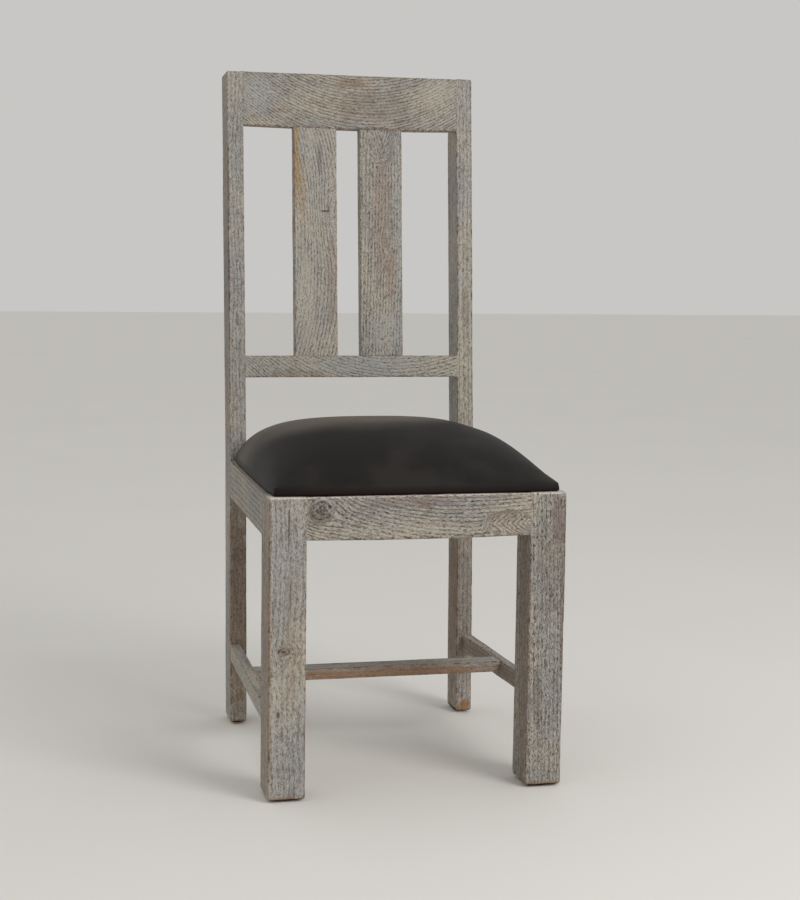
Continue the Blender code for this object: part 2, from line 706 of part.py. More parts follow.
def main():
    """Build every piece of the chair."""
    legs = {-1: make_leg(-1, "front_leg_left"), 1: make_leg(1, "front_leg_right")}
    posts = {-1: make_post(-1, "rear_post_left"), 1: make_post(1, "rear_post_right")}
    make_back(posts)
    make_end_aprons(legs, posts)
    stretchers = {}
    low = STRETCHER_TOP - SIDE_STRETCHER_HEIGHT
    for side, word in ((-1, "left"), (1, "right")):
        make_side_rail(side, f"side_apron_{word}", legs[side], posts[side], APRON_THICKNESS,
                       (APRON_BOTTOM, SEAT_FRAME_TOP), APRON_TENON)
        stretchers[side] = make_side_rail(side, f"side_stretcher_{word}", legs[side], posts[side],
                                          SIDE_STRETCHER_THICKNESS, (low, STRETCHER_TOP), STRETCHER_TENON)
    make_cross_stretcher(stretchers)
    screw_places = make_corner_blocks()
    board = make_board()
    cover = make_cover()
    make_foam()
    make_seat_screws(board, cover, screw_places)
    make_staples(cover, board)
    leg_x = (FRONT_WIDTH - LEG_WIDTH) / 2
    post_x = (REAR_WIDTH - POST_WIDTH) / 2
    post_y = post_front(FOOT) + POST_DEPTH / 2
    feet = []
    for side in (-1, 1):
        feet.append((legs[side], side * leg_x, FRONT + LEG_DEPTH / 2))
        feet.append((posts[side], side * post_x, post_y))
    make_glides(feet)
    for wood in (*legs.values(), *posts.values()):
        paint(wood, WASHED_WOOD)


clear_scene()
CHAIR = new_collection("dining_chair")
CUTTERS = new_collection("cutters")
main()
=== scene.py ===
"""A worn, whitewashed dining chair with a domed dark leather seat.

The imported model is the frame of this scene. Every timber is rebuilt over its plain solid as a dense
mesh with worn arrises, brushed grain and its own growth rings, and the seat is stuffed leather that
swells on its board. Lengths are in metres, +Z is up and the front of the chair faces -Y.
"""

import logging
import math
from collections.abc import Callable, Iterator, Sequence
from dataclasses import dataclass, field
from enum import Enum

import bmesh
import bpy
from mathutils import Matrix, Vector, noise


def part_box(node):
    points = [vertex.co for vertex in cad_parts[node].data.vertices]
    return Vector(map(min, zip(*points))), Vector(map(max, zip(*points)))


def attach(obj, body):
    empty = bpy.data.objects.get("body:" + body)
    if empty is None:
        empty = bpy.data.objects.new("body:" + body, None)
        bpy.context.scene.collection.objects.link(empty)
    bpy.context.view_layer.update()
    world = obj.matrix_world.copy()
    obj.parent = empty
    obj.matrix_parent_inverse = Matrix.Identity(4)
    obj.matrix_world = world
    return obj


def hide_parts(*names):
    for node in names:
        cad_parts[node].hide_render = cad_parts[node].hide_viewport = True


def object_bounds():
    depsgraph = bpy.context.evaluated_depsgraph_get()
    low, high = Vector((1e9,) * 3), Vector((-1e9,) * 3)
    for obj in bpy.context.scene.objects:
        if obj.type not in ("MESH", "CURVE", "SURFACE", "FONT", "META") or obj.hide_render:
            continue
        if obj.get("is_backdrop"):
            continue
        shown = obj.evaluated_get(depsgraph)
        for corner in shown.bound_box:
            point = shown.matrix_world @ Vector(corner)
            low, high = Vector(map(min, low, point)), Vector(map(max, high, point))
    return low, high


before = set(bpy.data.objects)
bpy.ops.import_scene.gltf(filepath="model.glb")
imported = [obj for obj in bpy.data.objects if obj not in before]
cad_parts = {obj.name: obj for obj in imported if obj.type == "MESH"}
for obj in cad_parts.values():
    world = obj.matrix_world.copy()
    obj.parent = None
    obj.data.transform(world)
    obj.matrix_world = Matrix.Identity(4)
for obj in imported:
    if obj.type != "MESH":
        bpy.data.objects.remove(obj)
CAD_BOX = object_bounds()

LOG = logging.getLogger("dining_chair")
BODY = "root"
MM = 0.001
BOARD_ARRIS = 0.0013

Colour = tuple[float, float, float]
Quad = tuple[Vector, Vector, Vector, Vector]


def tint(red: int, green: int, blue: int) -> Colour:
    """Give the linear colour of a paint chip that is written in the usual 0 to 255 steps.

    Args:
        red: The chip's red.
        green: The chip's green.
        blue: The chip's blue.

    Returns:
        The three linear values that a shader takes.
    """
    def linear(step: int) -> float:
        """Undo the display curve of one step."""
        share = step / 255
        return share / 12.92 if share <= 0.04045 else ((share + 0.055) / 1.055) ** 2.4

    return linear(red), linear(green), linear(blue)


def blend_quads(first: Quad, second: Quad, share: float) -> Quad:
    """Give the section that lies between two others.

    Args:
        first: The four corners where share is 0.
        second: The four corners where share is 1.
        share: How far along the section lies.

    Returns:
        The four corners of the section.
    """
    return tuple(a.lerp(b, share) for a, b in zip(first, second))


class Signal:
    """A number that varies over a surface, with arithmetic that writes Math nodes."""

    def __init__(self, swatch: "Swatch", socket: bpy.types.NodeSocket) -> None:
        """Wrap one output socket of a swatch."""
        self.swatch = swatch
        self.socket = socket

    def math(self, operation: str, *others: "Signal | float", first: "Signal | float | None" = None,
             clamp: bool = False) -> "Signal":
        """Write one Math node that starts with this signal.

        Args:
            operation: The node's operation.
            others: What goes in the node's other sockets.
            first: What goes before this signal, for an operation that is turned round.
            clamp: Whether the result is held between 0 and 1.

        Returns:
            The node's result.
        """
        node = self.swatch.node("ShaderNodeMath", operation=operation, use_clamp=clamp)
        values = [self, *others] if first is None else [first, self]
        for socket, value in zip(node.inputs, values):
            self.swatch.feed(socket, value)
        return Signal(self.swatch, node.outputs[0])

    def __add__(self, other: "Signal | float") -> "Signal":
        """Add."""
        return self.math("ADD", other)

    def __sub__(self, other: "Signal | float") -> "Signal":
        """Subtract."""
        return self.math("SUBTRACT", other)

    def __rsub__(self, other: float) -> "Signal":
        """Subtract from a plain number."""
        return self.math("SUBTRACT", first=other)

    def __mul__(self, other: "Signal | float") -> "Signal":
        """Multiply."""
        return self.math("MULTIPLY", other)

    def __truediv__(self, other: "Signal | float") -> "Signal":
        """Divide."""
        return self.math("DIVIDE", other)

    def __pow__(self, power: float) -> "Signal":
        """Raise to a power."""
        return self.math("POWER", power)

    def fraction(self) -> "Signal":
        """Give what is left after whole numbers."""
        return self.math("FRACT")

    def fading(self) -> "Signal":
        """Give e to the power of minus this signal."""
        return (self * -1.0).math("EXPONENT")

    def held(self) -> "Signal":
        """Hold the signal between 0 and 1."""
        return self.math("ADD", 0.0, clamp=True)

    def between(self, low: float, high: float) -> "Signal":
        """Give a smooth step from 0 at low to 1 at high.

        Args:
            low: Where the step starts.
            high: Where the step ends, which may be the lower of the two.

        Returns:
            The step.
        """
        turned = low > high
        node = self.swatch.node("ShaderNodeMapRange", interpolation_type="SMOOTHSTEP", clamp=True)
        start, stop = (high, low) if turned else (low, high)
        levels = (1.0, 0.0) if turned else (0.0, 1.0)
        for name, value in zip(("Value", "From Min", "From Max", "To Min", "To Max"),
                               (self, start, stop, *levels)):
            self.swatch.feed(node.inputs[name], value)
        return Signal(self.swatch, node.outputs["Result"])


Place = tuple[Signal, Signal, Signal]


class Swatch:
    """The node tree of one material, written one step at a time."""

    def __init__(self, name: str) -> None:
        """Start a material with its one shader.

        Args:
            name: The material's name.
        """
        self.material = bpy.data.materials.new(name)
        self.material.use_nodes = True
        self.tree = self.material.node_tree
        self.shader = self.tree.nodes["Principled BSDF"]

    def node(self, kind: str, **settings: object) -> bpy.types.Node:
        """Add a node with its settings.

        Args:
            kind: The node's type.
            settings: The properties that are set on it.

        Returns:
            The node.
        """
        made = self.tree.nodes.new(kind)
        for name, value in settings.items():
            setattr(made, name, value)
        return made

    def feed(self, socket: bpy.types.NodeSocket, value: "Signal | Colour | float") -> None:
        """Give a socket a signal, a colour or a number.

        Args:
            socket: The socket that is fed.
            value: What it takes.
        """
        if isinstance(value, Signal):
            self.tree.links.new(value.socket, socket)
        elif isinstance(value, tuple) and socket.type == "RGBA":
            socket.default_value = (*value, 1.0)
        else:
            socket.default_value = value

    def place(self, attribute: str | None = None) -> Place:
        """Give the three coordinates of a point of the surface.

        Args:
            attribute: The mesh's own coordinates, or None for the object's.

        Returns:
            The three coordinates.
        """
        if attribute:
            source = self.node("ShaderNodeAttribute", attribute_name=attribute).outputs["Vector"]
        else:
            source = self.node("ShaderNodeTexCoord").outputs["Object"]
        split = self.node("ShaderNodeSeparateXYZ")
        self.tree.links.new(source, split.inputs[0])
        x, y, z = (Signal(self, socket) for socket in split.outputs)
        return x, y, z

    def share(self, attribute: str) -> Signal:
        """Read a number that the mesh carries."""
        return Signal(self, self.node("ShaderNodeAttribute", attribute_name=attribute).outputs["Fac"])

    def noise(self, x: Signal | float, y: Signal | float, z: Signal | float, detail: float = 2.0,
              roughness: float = 0.5) -> Signal:
        """Add a cloud texture, whose scale is in its coordinates.

        Args:
            x: The first coordinate.
            y: The second coordinate.
            z: The third coordinate.
            detail: How many finer layers it has.
            roughness: How strong those layers are.

        Returns:
            The cloud, about 0.5 at its middle.
        """
        place = self._joined(x, y, z)
        cloud = self.node("ShaderNodeTexNoise")
        self.tree.links.new(place, cloud.inputs["Vector"])
        for name, value in (("Scale", 1.0), ("Detail", detail), ("Roughness", roughness)):
            cloud.inputs[name].default_value = value
        return Signal(self, cloud.outputs["Fac"])

    def cells(self, x: Signal, y: Signal, z: Signal) -> Signal:
        """Add a cell texture, whose scale is in its coordinates.

        Args:
            x: The first coordinate.
            y: The second coordinate.
            z: The third coordinate.

        Returns:
            The distance to each cell's border.
        """
        place = self._joined(x, y, z)
        cells = self.node("ShaderNodeTexVoronoi", feature="DISTANCE_TO_EDGE")
        self.tree.links.new(place, cells.inputs["Vector"])
        cells.inputs["Scale"].default_value = 1.0
        return Signal(self, cells.outputs["Distance"])

    def _joined(self, x: Signal | float, y: Signal | float, z: Signal | float) -> bpy.types.NodeSocket:
        """Join three numbers into a vector.

        Args:
            x: The first coordinate.
            y: The second coordinate.
            z: The third coordinate.

        Returns:
            The socket that gives the vector.
        """
        join = self.node("ShaderNodeCombineXYZ")
        for socket, value in zip(join.inputs, (x, y, z)):
            self.feed(socket, value)
        return join.outputs[0]

    def mix(self, share: Signal | float, first: Signal | Colour, second: Signal | Colour) -> Signal:
        """Mix two colours.

        Args:
            share: How much of the second colour there is.
            first: The colour where share is 0.
            second: The colour where share is 1.

        Returns:
            The mixed colour.
        """
        node = self.node("ShaderNodeMix", data_type="RGBA")
        colours = [socket for socket in node.inputs if socket.type == "RGBA"]
        self.feed(node.inputs["Factor"], share)
        self.feed(colours[0], first)
        self.feed(colours[1], second)
        return Signal(self, next(socket for socket in node.outputs if socket.type == "RGBA"))

    def finish(self, colour: Signal | Colour, roughness: Signal | float, height: Signal | None = None,
               depth: float = 0.0, metallic: float = 0.0, specular: float = 0.5) -> bpy.types.Material:
        """Wire the surface and give the material.

        Args:
            colour: The surface's colour.
            roughness: The surface's roughness.
            height: Relief, from 0 to 1.
            depth: How deep the relief is.
            metallic: 1 for bare metal.
            specular: How strongly the surface reflects.

        Returns:
            The finished material.
        """
        self.feed(self.shader.inputs["Base Color"], colour)
        self.feed(self.shader.inputs["Roughness"], roughness)
        self.shader.inputs["Metallic"].default_value = metallic
        self.shader.inputs["Specular IOR Level"].default_value = specular
        if height is not None:
            bump = self.node("ShaderNodeBump")
            bump.inputs["Distance"].default_value = depth
            self.feed(bump.inputs["Height"], height)
            self.tree.links.new(bump.outputs["Normal"], self.shader.inputs["Normal"])
        return self.material


@dataclass(frozen=True)
class Knot:
    """A knot, or with no heart an eye of figure, and the rings that flow round it."""

    across: float
    deep: float
    along: float
    radius: float
    stretch: float = 1.5
    heart: float = 1.0


@dataclass(frozen=True)
class Flame:
    """Nested arches of rings, whose tips point back along the grain."""

    across: float
    deep: float
    along: float
    half_across: float
    half_along: float
    spread: float
    step: float


@dataclass(frozen=True)
class Stain:
    """A soft patch of another colour, long along the grain."""

    across: float
    deep: float
    along: float
    half_across: float
    half_along: float
    colour: Colour
    strength: float
    half_deep: float = 0.012


@dataclass(frozen=True)
class Figure:
    """How the growth rings run through a timber: the place and the sweep of the tree's pith."""

    across: float
    deep: float
    lean_across: float = 0.0
    lean_deep: float = 0.0
    bow: float = 0.0
    bow_at: float = 0.0
    ring: float = 0.0055
    wander: float = 0.010

    def radius(self, across: "Signal | float", deep: "Signal | float",
               along: "Signal | float") -> "Signal | float":
        """Give the distance from the pith, for signals and for plain numbers.

        Args:
            across: The place across the show face.
            deep: The place in the timber's depth.
            along: The place along the grain.

        Returns:
            The distance, whose steps of one ring are the growth rings.
        """
        swing = along - self.bow_at
        aside = across - self.across - along * self.lean_across - swing * swing * self.bow
        inward = deep - self.deep - along * self.lean_deep
        return (aside * aside + inward * inward) ** 0.5


class Wash(Enum):
    """The colours of the washed timber, each with what it stands for, and the painted highlight of its lit
    top edges.
    """

    # painted highlight: a pale colour laid on the lit top edges of the legs and of the front apron
    PAINTED_HIGHLIGHT = tint(212, 206, 198)
    CREAM = tint(182, 176, 163)
    GREY = tint(168, 168, 165)
    BROWN = tint(96, 86, 76)
    WARM = tint(132, 112, 94)
    UMBER = tint(116, 90, 66)
    RAW = tint(148, 110, 76)
    GOLD = tint(164, 130, 80)
    PORE = tint(66, 57, 50)
    SOOT = tint(44, 38, 34)
    MAUVE = tint(126, 110, 110)
    ROSE = tint(148, 126, 112)


@dataclass(frozen=True)
class WashedWood:
    """Brushed hardwood under a thin white wash."""

    figure: Figure
    seed: float
    cover: float = 0.66
    pores: float = 0.75
    lines: float = 0.6
    warmth: float = 0.45
    bare: float = 0.16
    foot_bare: float = 0.65
    knots: tuple[Knot, ...] = ()
    flames: tuple[Flame, ...] = ()
    stains: tuple[Stain, ...] = ()

    def material(self, name: str) -> bpy.types.Material:
        """Write the finish as a material.

        Args:
            name: The material's name.

        Returns:
            The material.
        """
        swatch = Swatch(name)
        place = swatch.place("grain")
        across, deep, along = place
        slow = self._cloud(swatch, place, 11.0, 4.5) - 0.5
        sway = slow * self.figure.wander
        radius = self.figure.radius(across + sway, deep + sway, along)
        radius, hearts = self._knots(swatch, radius, place)
        radius = self._arched(radius, place, slow)

        waver = swatch.noise(radius * 60.0, deep * 20.0, along * 4.0 + self.seed) - 0.5
        turn = (radius / self.figure.ring + waver * 1.1).fraction()
        early = turn.between(0.0, 0.16) * turn.between(0.66, 0.22) * self.lines
        skew = deep * 200.0 + across * 120.0
        fibre = swatch.noise(radius * 480.0, skew, along * 90.0 + self.seed, 3.0, 0.65)
        streak = swatch.noise(radius * 95.0, deep * 50.0 + across * 30.0, along * 9.0 + self.seed, 2.0)
        mottle = self._cloud(swatch, place, 110.0, 60.0, 3.0, 0.65)
        speck = self._cloud(swatch, place, 520.0, 330.0, 2.0, 0.6)
        patch = swatch.noise(across * 16.0, deep * 16.0, along * 7.0 - self.seed, 2.0)
        dash = swatch.noise(radius * 640.0, skew * 2.0, along * 210.0 + self.seed, 2.0, 0.6)
        pore = dash.between(0.53, 0.64) * (early * 0.5 + 0.65) * speck.between(0.25, 0.50)

        cover = (fibre - 0.5) * 1.7 + (streak - 0.5) * 0.15 + (mottle - 0.5) * 0.6 + (patch - 0.5) * 0.25
        cover = cover + (speck - 0.5) * 1.6
        cover = (cover - early * 0.50 + (self.cover + 0.16)).held()
        warm = (streak.between(0.35, 0.70) * self.warmth * 1.4).held()
        wood = swatch.mix(warm, Wash.BROWN.value, Wash.WARM.value)
        chalk = swatch.mix(patch.between(0.35, 0.68), Wash.GREY.value, Wash.CREAM.value)
        colour = swatch.mix(cover, wood, chalk)
        colour = self._stained(swatch, colour, place, mottle)
        colour = swatch.mix((pore * self.pores).held(), colour, Wash.PORE.value)
        colour = swatch.mix(hearts, colour, Wash.SOOT.value)
        colour = self._scuffed(swatch, colour, place)

        rough = cover * 0.10 + 0.70
        height = fibre * 0.35 - pore * 0.5 - early * 0.35 + mottle * 0.2 + 0.6
        return swatch.finish(colour, rough, height, 0.7 * MM, specular=0.3)

    def _cloud(self, swatch: Swatch, place: Place, across: float, along: float, *layers: float) -> Signal:
        """Add a cloud that is the timber's own.

        Args:
            swatch: The material that is being written.
            place: The three grain coordinates.
            across: How fine the cloud is over the section.
            along: How fine it is along the grain.
            layers: How many finer layers it has, and how strong they are.

        Returns:
            The cloud, about 0.5 at its middle.
        """
        return swatch.noise(place[0] * across, place[1] * across, place[2] * along + self.seed, *layers)

    def _scuffed(self, swatch: Swatch, colour: Signal, place: Place) -> Signal:
        """Nick and bare the arrises, and bare the feet.

        Args:
            swatch: The material that is being written.
            colour: The colour so far.
            place: The three grain coordinates.

        Returns:
            The colour with its wear.
        """
        across, deep, along = place
        worn_and_shaded = swatch.share("wear_and_shade")
        scuff = self._cloud(swatch, place, 90.0, 30.0, 3.0) - 0.5
        nick = (worn_and_shaded * swatch.noise(across * 200.0, deep * 200.0, along * 130.0, 2.0)).between(0.50, 0.62)
        colour = swatch.mix(nick * 0.7, colour, Wash.PORE.value)
        bare = (worn_and_shaded + scuff * 1.4).between(0.62, 1.0) * self.bare
        colour = swatch.mix(bare, colour, Wash.RAW.value)
        foot = (swatch.share("foot") + scuff * 1.3).between(0.45, 0.80) * self.foot_bare
        return swatch.mix(foot, colour, Wash.RAW.value)

    def _knots(self, swatch: Swatch, radius: Signal, place: Place) -> tuple[Signal, Signal]:
        """Lead the rings round each knot.

        Args:
            swatch: The material that is being written.
            radius: The rings before the knots.
            place: The three grain coordinates.

        Returns:
            The rings with the knots, and the share of dark heart.
        """
        across, deep, along = place
        hearts = across * 0.0
        for knot in self.knots:
            aside = across - knot.across
            inward = deep - knot.deep
            down = (along - knot.along) / knot.stretch
            far = (aside * aside + down * down + inward * inward * 0.6) / knot.radius ** 2
            calm = (far / 4.5).fading()
            centre = self.figure.radius(knot.across, knot.deep, knot.along)
            twist = self._cloud(swatch, place, 130.0, 90.0, 2.0) - 0.5
            own = (far ** 0.5) * (knot.radius * 0.8) + twist * (knot.radius * 0.9 * knot.heart)
            inside = far.between(1.9, 0.8)
            radius = radius * (1.0 - calm) + calm * centre
            radius = radius * (1.0 - inside) + (own + centre) * inside
            splinter = swatch.noise(across * 300.0, deep * 300.0, along * 260.0, 3.0, 0.6) - 0.5
            ragged = far + splinter * 1.8
            broken = self._cloud(swatch, place, 170.0, 150.0, 2.0).between(0.40, 0.56)
            rim = ragged.between(0.40, 0.66) * ragged.between(1.35, 0.80) * broken
            core = ragged.between(0.26, 0.04)
            hearts = hearts + (rim * 0.75 + core * 0.75) * knot.heart
        return radius, hearts.held()

    def _arched(self, radius: Signal, place: Place, slow: Signal) -> Signal:
        """Bend the rings into nested arches.

        Args:
            radius: The rings before the flames.
            place: The three grain coordinates.
            slow: A slow cloud that keeps the arches uneven.

        Returns:
            The rings with the flames.
        """
        across, deep, along = place
        for flame in self.flames:
            aside = across - flame.across + slow * (flame.half_across * 0.8)
            inward, down = deep - flame.deep, along - flame.along
            beside = aside / flame.half_across
            beyond = down / flame.half_along
            inside = (beside * beside + beyond * beyond + inward * inward * 6000.0).between(1.25, 0.45)
            arch = (aside * aside + (0.08 * flame.half_across) ** 2) ** 0.5
            own = (down - arch * flame.spread) * (self.figure.ring / flame.step)
            centre = self.figure.radius(flame.across, flame.deep, flame.along)
            radius = radius * (1.0 - inside) + (own + centre) * inside
        return radius

    def _stained(self, swatch: Swatch, colour: Signal, place: Place, ragged: Signal) -> Signal:
        """Lay each stain over the colour.

        Args:
            swatch: The material that is being written.
            colour: The colour so far.
            place: The three grain coordinates.
            ragged: A cloud that breaks the stains' edges.

        Returns:
            The colour with its stains.
        """
        across, deep, along = place
        for stain in self.stains:
            aside = (across - stain.across) / stain.half_across
            inward = (deep - stain.deep) / stain.half_deep
            down = (along - stain.along) / stain.half_along
            far = aside * aside + inward * inward + down * down + (ragged - 0.5) * 2.2
            colour = swatch.mix(far.between(1.3, 0.1) * stain.strength, colour, stain.colour)
        return colour


@dataclass(frozen=True)
class Cut:
    """How one end of a timber is worn: the radius of its rim, and for a foot how uneven that is."""

    radius: float = 0.00025
    uneven: float = 0.0


@dataclass(frozen=True)
class Chip:
    """A bite out of one arris; corner counts round the section from its low front one."""

    corner: int
    along: float
    length: float
    depth: float


@dataclass(frozen=True)
class Joint:
    """A stretch of one arris that stays crisp, because another timber meets it flush there."""

    corner: int
    low: float
    high: float


@dataclass(frozen=True)
class Edge:
    """One point of a timber's outline: place, outward direction, nearest arris and distance from it."""

    across: float
    deep: float
    out: tuple[float, float]
    from_arris: float
    side: int
    corner: int


@dataclass
class Timber:
    """One wooden member, lofted through its sections, with worn arrises and brushed faces."""

    name: str
    node: str
    width: float
    depth: float
    stations: Sequence[tuple[float, Quad]]
    finish: WashedWood
    low_cut: Cut = Cut()
    high_cut: Cut = Cut()
    arris: float = 0.0016
    belly: tuple[float, float] = (0.0, 0.0)
    chips: tuple[Chip, ...] = ()
    joints: tuple[Joint, ...] = ()
    relief: float = 0.00030
    wobble: float = 0.00045
    pitch: float = 0.0055
    girth_pitch: float = 0.0017
    corner_cells: int = 3
    wear_reach: float = 0.0024
    joint_fade: float = 0.004
    joint_arris: float = 0.12
    sharp_angle: float = math.radians(50)
    rim_steps: tuple[float, ...] = (0.0, 0.12, 0.3, 0.55, 0.8, 1.0, 1.35)
    seed: Vector = field(init=False)

    def __post_init__(self) -> None:
        """Give the timber a place of its own in the clouds that wear it."""
        self.seed = Vector((self.finish.seed * 3.1, self.finish.seed * 1.7, self.finish.seed * 2.3))

    def build(self) -> bpy.types.Object:
        """Make the timber in place of its CAD node.

        Returns:
            The object.
        """
        timber = bpy.data.objects.new(self.name, self._mesh())
        bpy.context.scene.collection.objects.link(timber)
        timber.data.materials.append(self.finish.material(self.name))
        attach(timber, BODY)
        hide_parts(self.node)
        return timber

    def _mesh(self) -> bpy.types.Mesh:
        """Loft the timber through its rings and close its two ends.

        Returns:
            The mesh, with its grain and its wear.
        """
        levels = list(self._levels())
        rings = [self._ring(level) for level in levels]
        size = len(rings[0])
        points, grain, wear_and_shade, foot = [], [], [], []
        for level, ring in zip(levels, rings):
            for point, place, worn_and_shaded, scuffed in ring:
                points.append(point)
                grain.extend((*place, level))
                wear_and_shade.append(worn_and_shaded)
                foot.append(scuffed)
        faces = []
        for row in range(len(rings) - 1):
            for step in range(size):
                after = (step + 1) % size
                faces.append((row * size + step, row * size + after,
                              (row + 1) * size + after, (row + 1) * size + step))
        faces.append(tuple(reversed(range(size))))
        faces.append(tuple((len(rings) - 1) * size + step for step in range(size)))
        mesh = bpy.data.meshes.new(self.name)
        mesh.from_pydata([tuple(point) for point in points], [], faces)
        mesh.attributes.new("grain", "FLOAT_VECTOR", "POINT").data.foreach_set("vector", grain)
        mesh.attributes.new("wear_and_shade", "FLOAT", "POINT").data.foreach_set("value", wear_and_shade)
        mesh.attributes.new("foot", "FLOAT", "POINT").data.foreach_set("value", foot)
        turn_outward(mesh)
        mesh.shade_smooth()
        mesh.set_sharp_from_angle(angle=self.sharp_angle)
        return mesh

    @property
    def low(self) -> float:
        """Give where the timber starts along its grain."""
        return self.stations[0][0]

    @property
    def high(self) -> float:
        """Give where the timber ends along its grain."""
        return self.stations[-1][0]

    def _levels(self) -> Iterator[float]:
        """Give the places of the rings: close together at the two ends, even between.

        Yields:
            Each place along the grain.
        """
        rim = self.rim_steps
        low_reach = self.low_cut.radius * (1 + self.low_cut.uneven)
        high_reach = self.high_cut.radius * (1 + self.high_cut.uneven)
        start, stop = self.low + low_reach * rim[-1], self.high - high_reach * rim[-1]
        count = max(2, round((stop - start) / self.pitch))
        yield from (self.low + low_reach * share for share in rim)
        inner = {start + (stop - start) * step / count for step in range(1, count)}
        inner |= {level for level, _ in self.stations[1:-1]}
        yield from sorted(inner)
        yield from (self.high - high_reach * share for share in reversed(rim))

    def _section(self, level: float) -> Quad:
        """Give the four corners of the section at a level.

        Args:
            level: The place along the grain.

        Returns:
            The corners.
        """
        for (low, first), (high, second) in zip(self.stations, self.stations[1:]):
            if level <= high:
                return blend_quads(first, second, (level - low) / (high - low))
        return self.stations[-1][1]

    def _arris_radius(self, corner: int, level: float) -> float:
        """Give how far one arris is worn round at a level.

        Args:
            corner: Which arris.
            level: The place along the grain.

        Returns:
            The radius.
        """
        place = Vector((corner * 7.3, level * 21.0, 0.0)) + self.seed
        fine = Vector((corner * 5.1, level * 95.0, 3.0)) + self.seed
        radius = self.arris * (1 + 0.55 * noise.noise(place) + 0.35 * noise.noise(fine))
        for chip in self.chips:
            near = abs(level - chip.along) / chip.length
            if chip.corner == corner and near < 1:
                radius += chip.depth * (1 - near * near) ** 2
        return radius * (self.joint_arris + (1 - self.joint_arris) * self._open_arris(corner, level))

    def _open_arris(self, corner: int, level: float) -> float:
        """Give 0 where a joint keeps an arris crisp and 1 away from it.

        Args:
            corner: Which arris.
            level: The place along the grain.

        Returns:
            The share, from 0 to 1.
        """
        for joint in self.joints:
            if joint.corner == corner:
                outside = max(joint.low - level, level - joint.high)
                if outside < self.joint_fade:
                    return max(0.0, outside / self.joint_fade)
        return 1.0

    def _outline(self, level: float) -> Iterator[Edge]:
        """Give the section's outline as a rectangle with rounded corners, in even steps.

        Args:
            level: The place along the grain.

        Yields:
            Each point of the outline.
        """
        half = Vector((self.width / 2, self.depth / 2))
        corners = [Vector((-half.x, -half.y)), Vector((half.x, -half.y)), half, Vector((-half.x, half.y))]
        ways = [Vector((1, 0)), Vector((0, 1)), Vector((-1, 0)), Vector((0, -1))]
        radii = [self._arris_radius(corner, level) for corner in range(4)]
        for side, way in enumerate(ways):
            after = (side + 1) % 4
            out = Vector((way.y, -way.x))
            start = corners[side] + way * radii[side]
            stop = corners[after] - way * radii[after]
            length = (self.width, self.depth)[side % 2]
            cells = max(2, round(length / self.girth_pitch))
            for step in range(cells + 1):
                point = start.lerp(stop, step / cells)
                before, behind = (point - start).length, (stop - point).length
                corner = side if before < behind else after
                yield Edge(point.x, point.y, (out.x, out.y), min(before, behind), side, corner)
            centre = stop - out * radii[after]
            for step in range(1, self.corner_cells):
                angle = math.pi / 2 * step / self.corner_cells
                lean = out * math.cos(angle) + way * math.sin(angle)
                point = centre + lean * radii[after]
                yield Edge(point.x, point.y, (lean.x, lean.y), 0.0, side, after)

    def _ring(self, level: float) -> list[tuple[Vector, tuple[float, float], float, float]]:
        """Give the points of one ring.

        Args:
            level: The place along the grain.

        Returns:
            Each point in space, its place in the section, and how worn its arris and its foot are.
        """
        section = self._section(level)
        share = (level - self.low) / (self.high - self.low)
        swell = 4 * share * (1 - share)
        ring = []
        for edge in self._outline(level):
            place = Vector((edge.across * 30, edge.deep * 30, level * 30)) + self.seed
            rim, rim_wear = self._end_inset(level, place)
            sink = rim + self._brushed(edge, level)
            sink += self.wobble * (0.5 + noise.noise(Vector((edge.side * 9.0, level * 9.0, 0)) + self.seed))
            if edge.side in (1, 3):
                sink -= self.belly[0 if edge.side == 3 else 1] * swell * abs(edge.out[0])
            across = edge.across - edge.out[0] * sink
            deep = edge.deep - edge.out[1] * sink
            low = section[0].lerp(section[1], across / self.width + 0.5)
            high = section[3].lerp(section[2], across / self.width + 0.5)
            worn_and_shaded = math.exp(-(edge.from_arris / self.wear_reach) ** 2) * self._open_arris(edge.corner, level)
            worn_and_shaded *= min(1.0, min(level - self.low, self.high - level) / self.joint_fade)
            point = low.lerp(high, deep / self.depth + 0.5)
            ring.append((point, (edge.across, edge.deep), worn_and_shaded, rim_wear))
        return ring

    def _end_inset(self, level: float, place: Vector) -> tuple[float, float]:
        """Give how far the rim of an end is worn in, and how bare the wood is there.

        Args:
            level: The place along the grain.
            place: The place in the cloud that makes the rim uneven.

        Returns:
            The inset and the wear.
        """
        inset, wear_and_shade = 0.0, 0.0
        for cut, distance in ((self.low_cut, level - self.low), (self.high_cut, self.high - level)):
            radius = cut.radius * (1 + cut.uneven * noise.noise(place * 1.7))
            if distance < radius:
                inset = max(inset, radius - math.sqrt(max(0.0, radius ** 2 - (radius - distance) ** 2)))
            if cut.uneven:
                wear_and_shade = max(wear_and_shade, math.exp(-(distance / (radius * 1.25)) ** 2))
        return inset, wear_and_shade

    def _brushed(self, edge: Edge, level: float) -> float:
        """Give the depth of the brushed grain at a point of the outline.

        Args:
            edge: The point of the outline.
            level: The place along the grain.

        Returns:
            The depth.
        """
        figure = self.finish.figure
        radius = figure.radius(edge.across, edge.deep, level)
        ring = radius / figure.ring + 0.8 * noise.noise(Vector((radius * 60, level * 6, 1.0)) + self.seed)
        groove = max(0.0, math.sin(ring * 2 * math.pi)) ** 2
        fibre = noise.noise(Vector((radius * 210, edge.deep * 120, level * 14)) + self.seed)
        streak = noise.noise(Vector((radius * 420, edge.deep * 300, level * 30)) + self.seed)
        pit = max(0.0, streak - 0.25)
        return self.relief * (0.45 * groove + 0.5 * (0.5 + 0.5 * fibre) + 1.1 * pit)


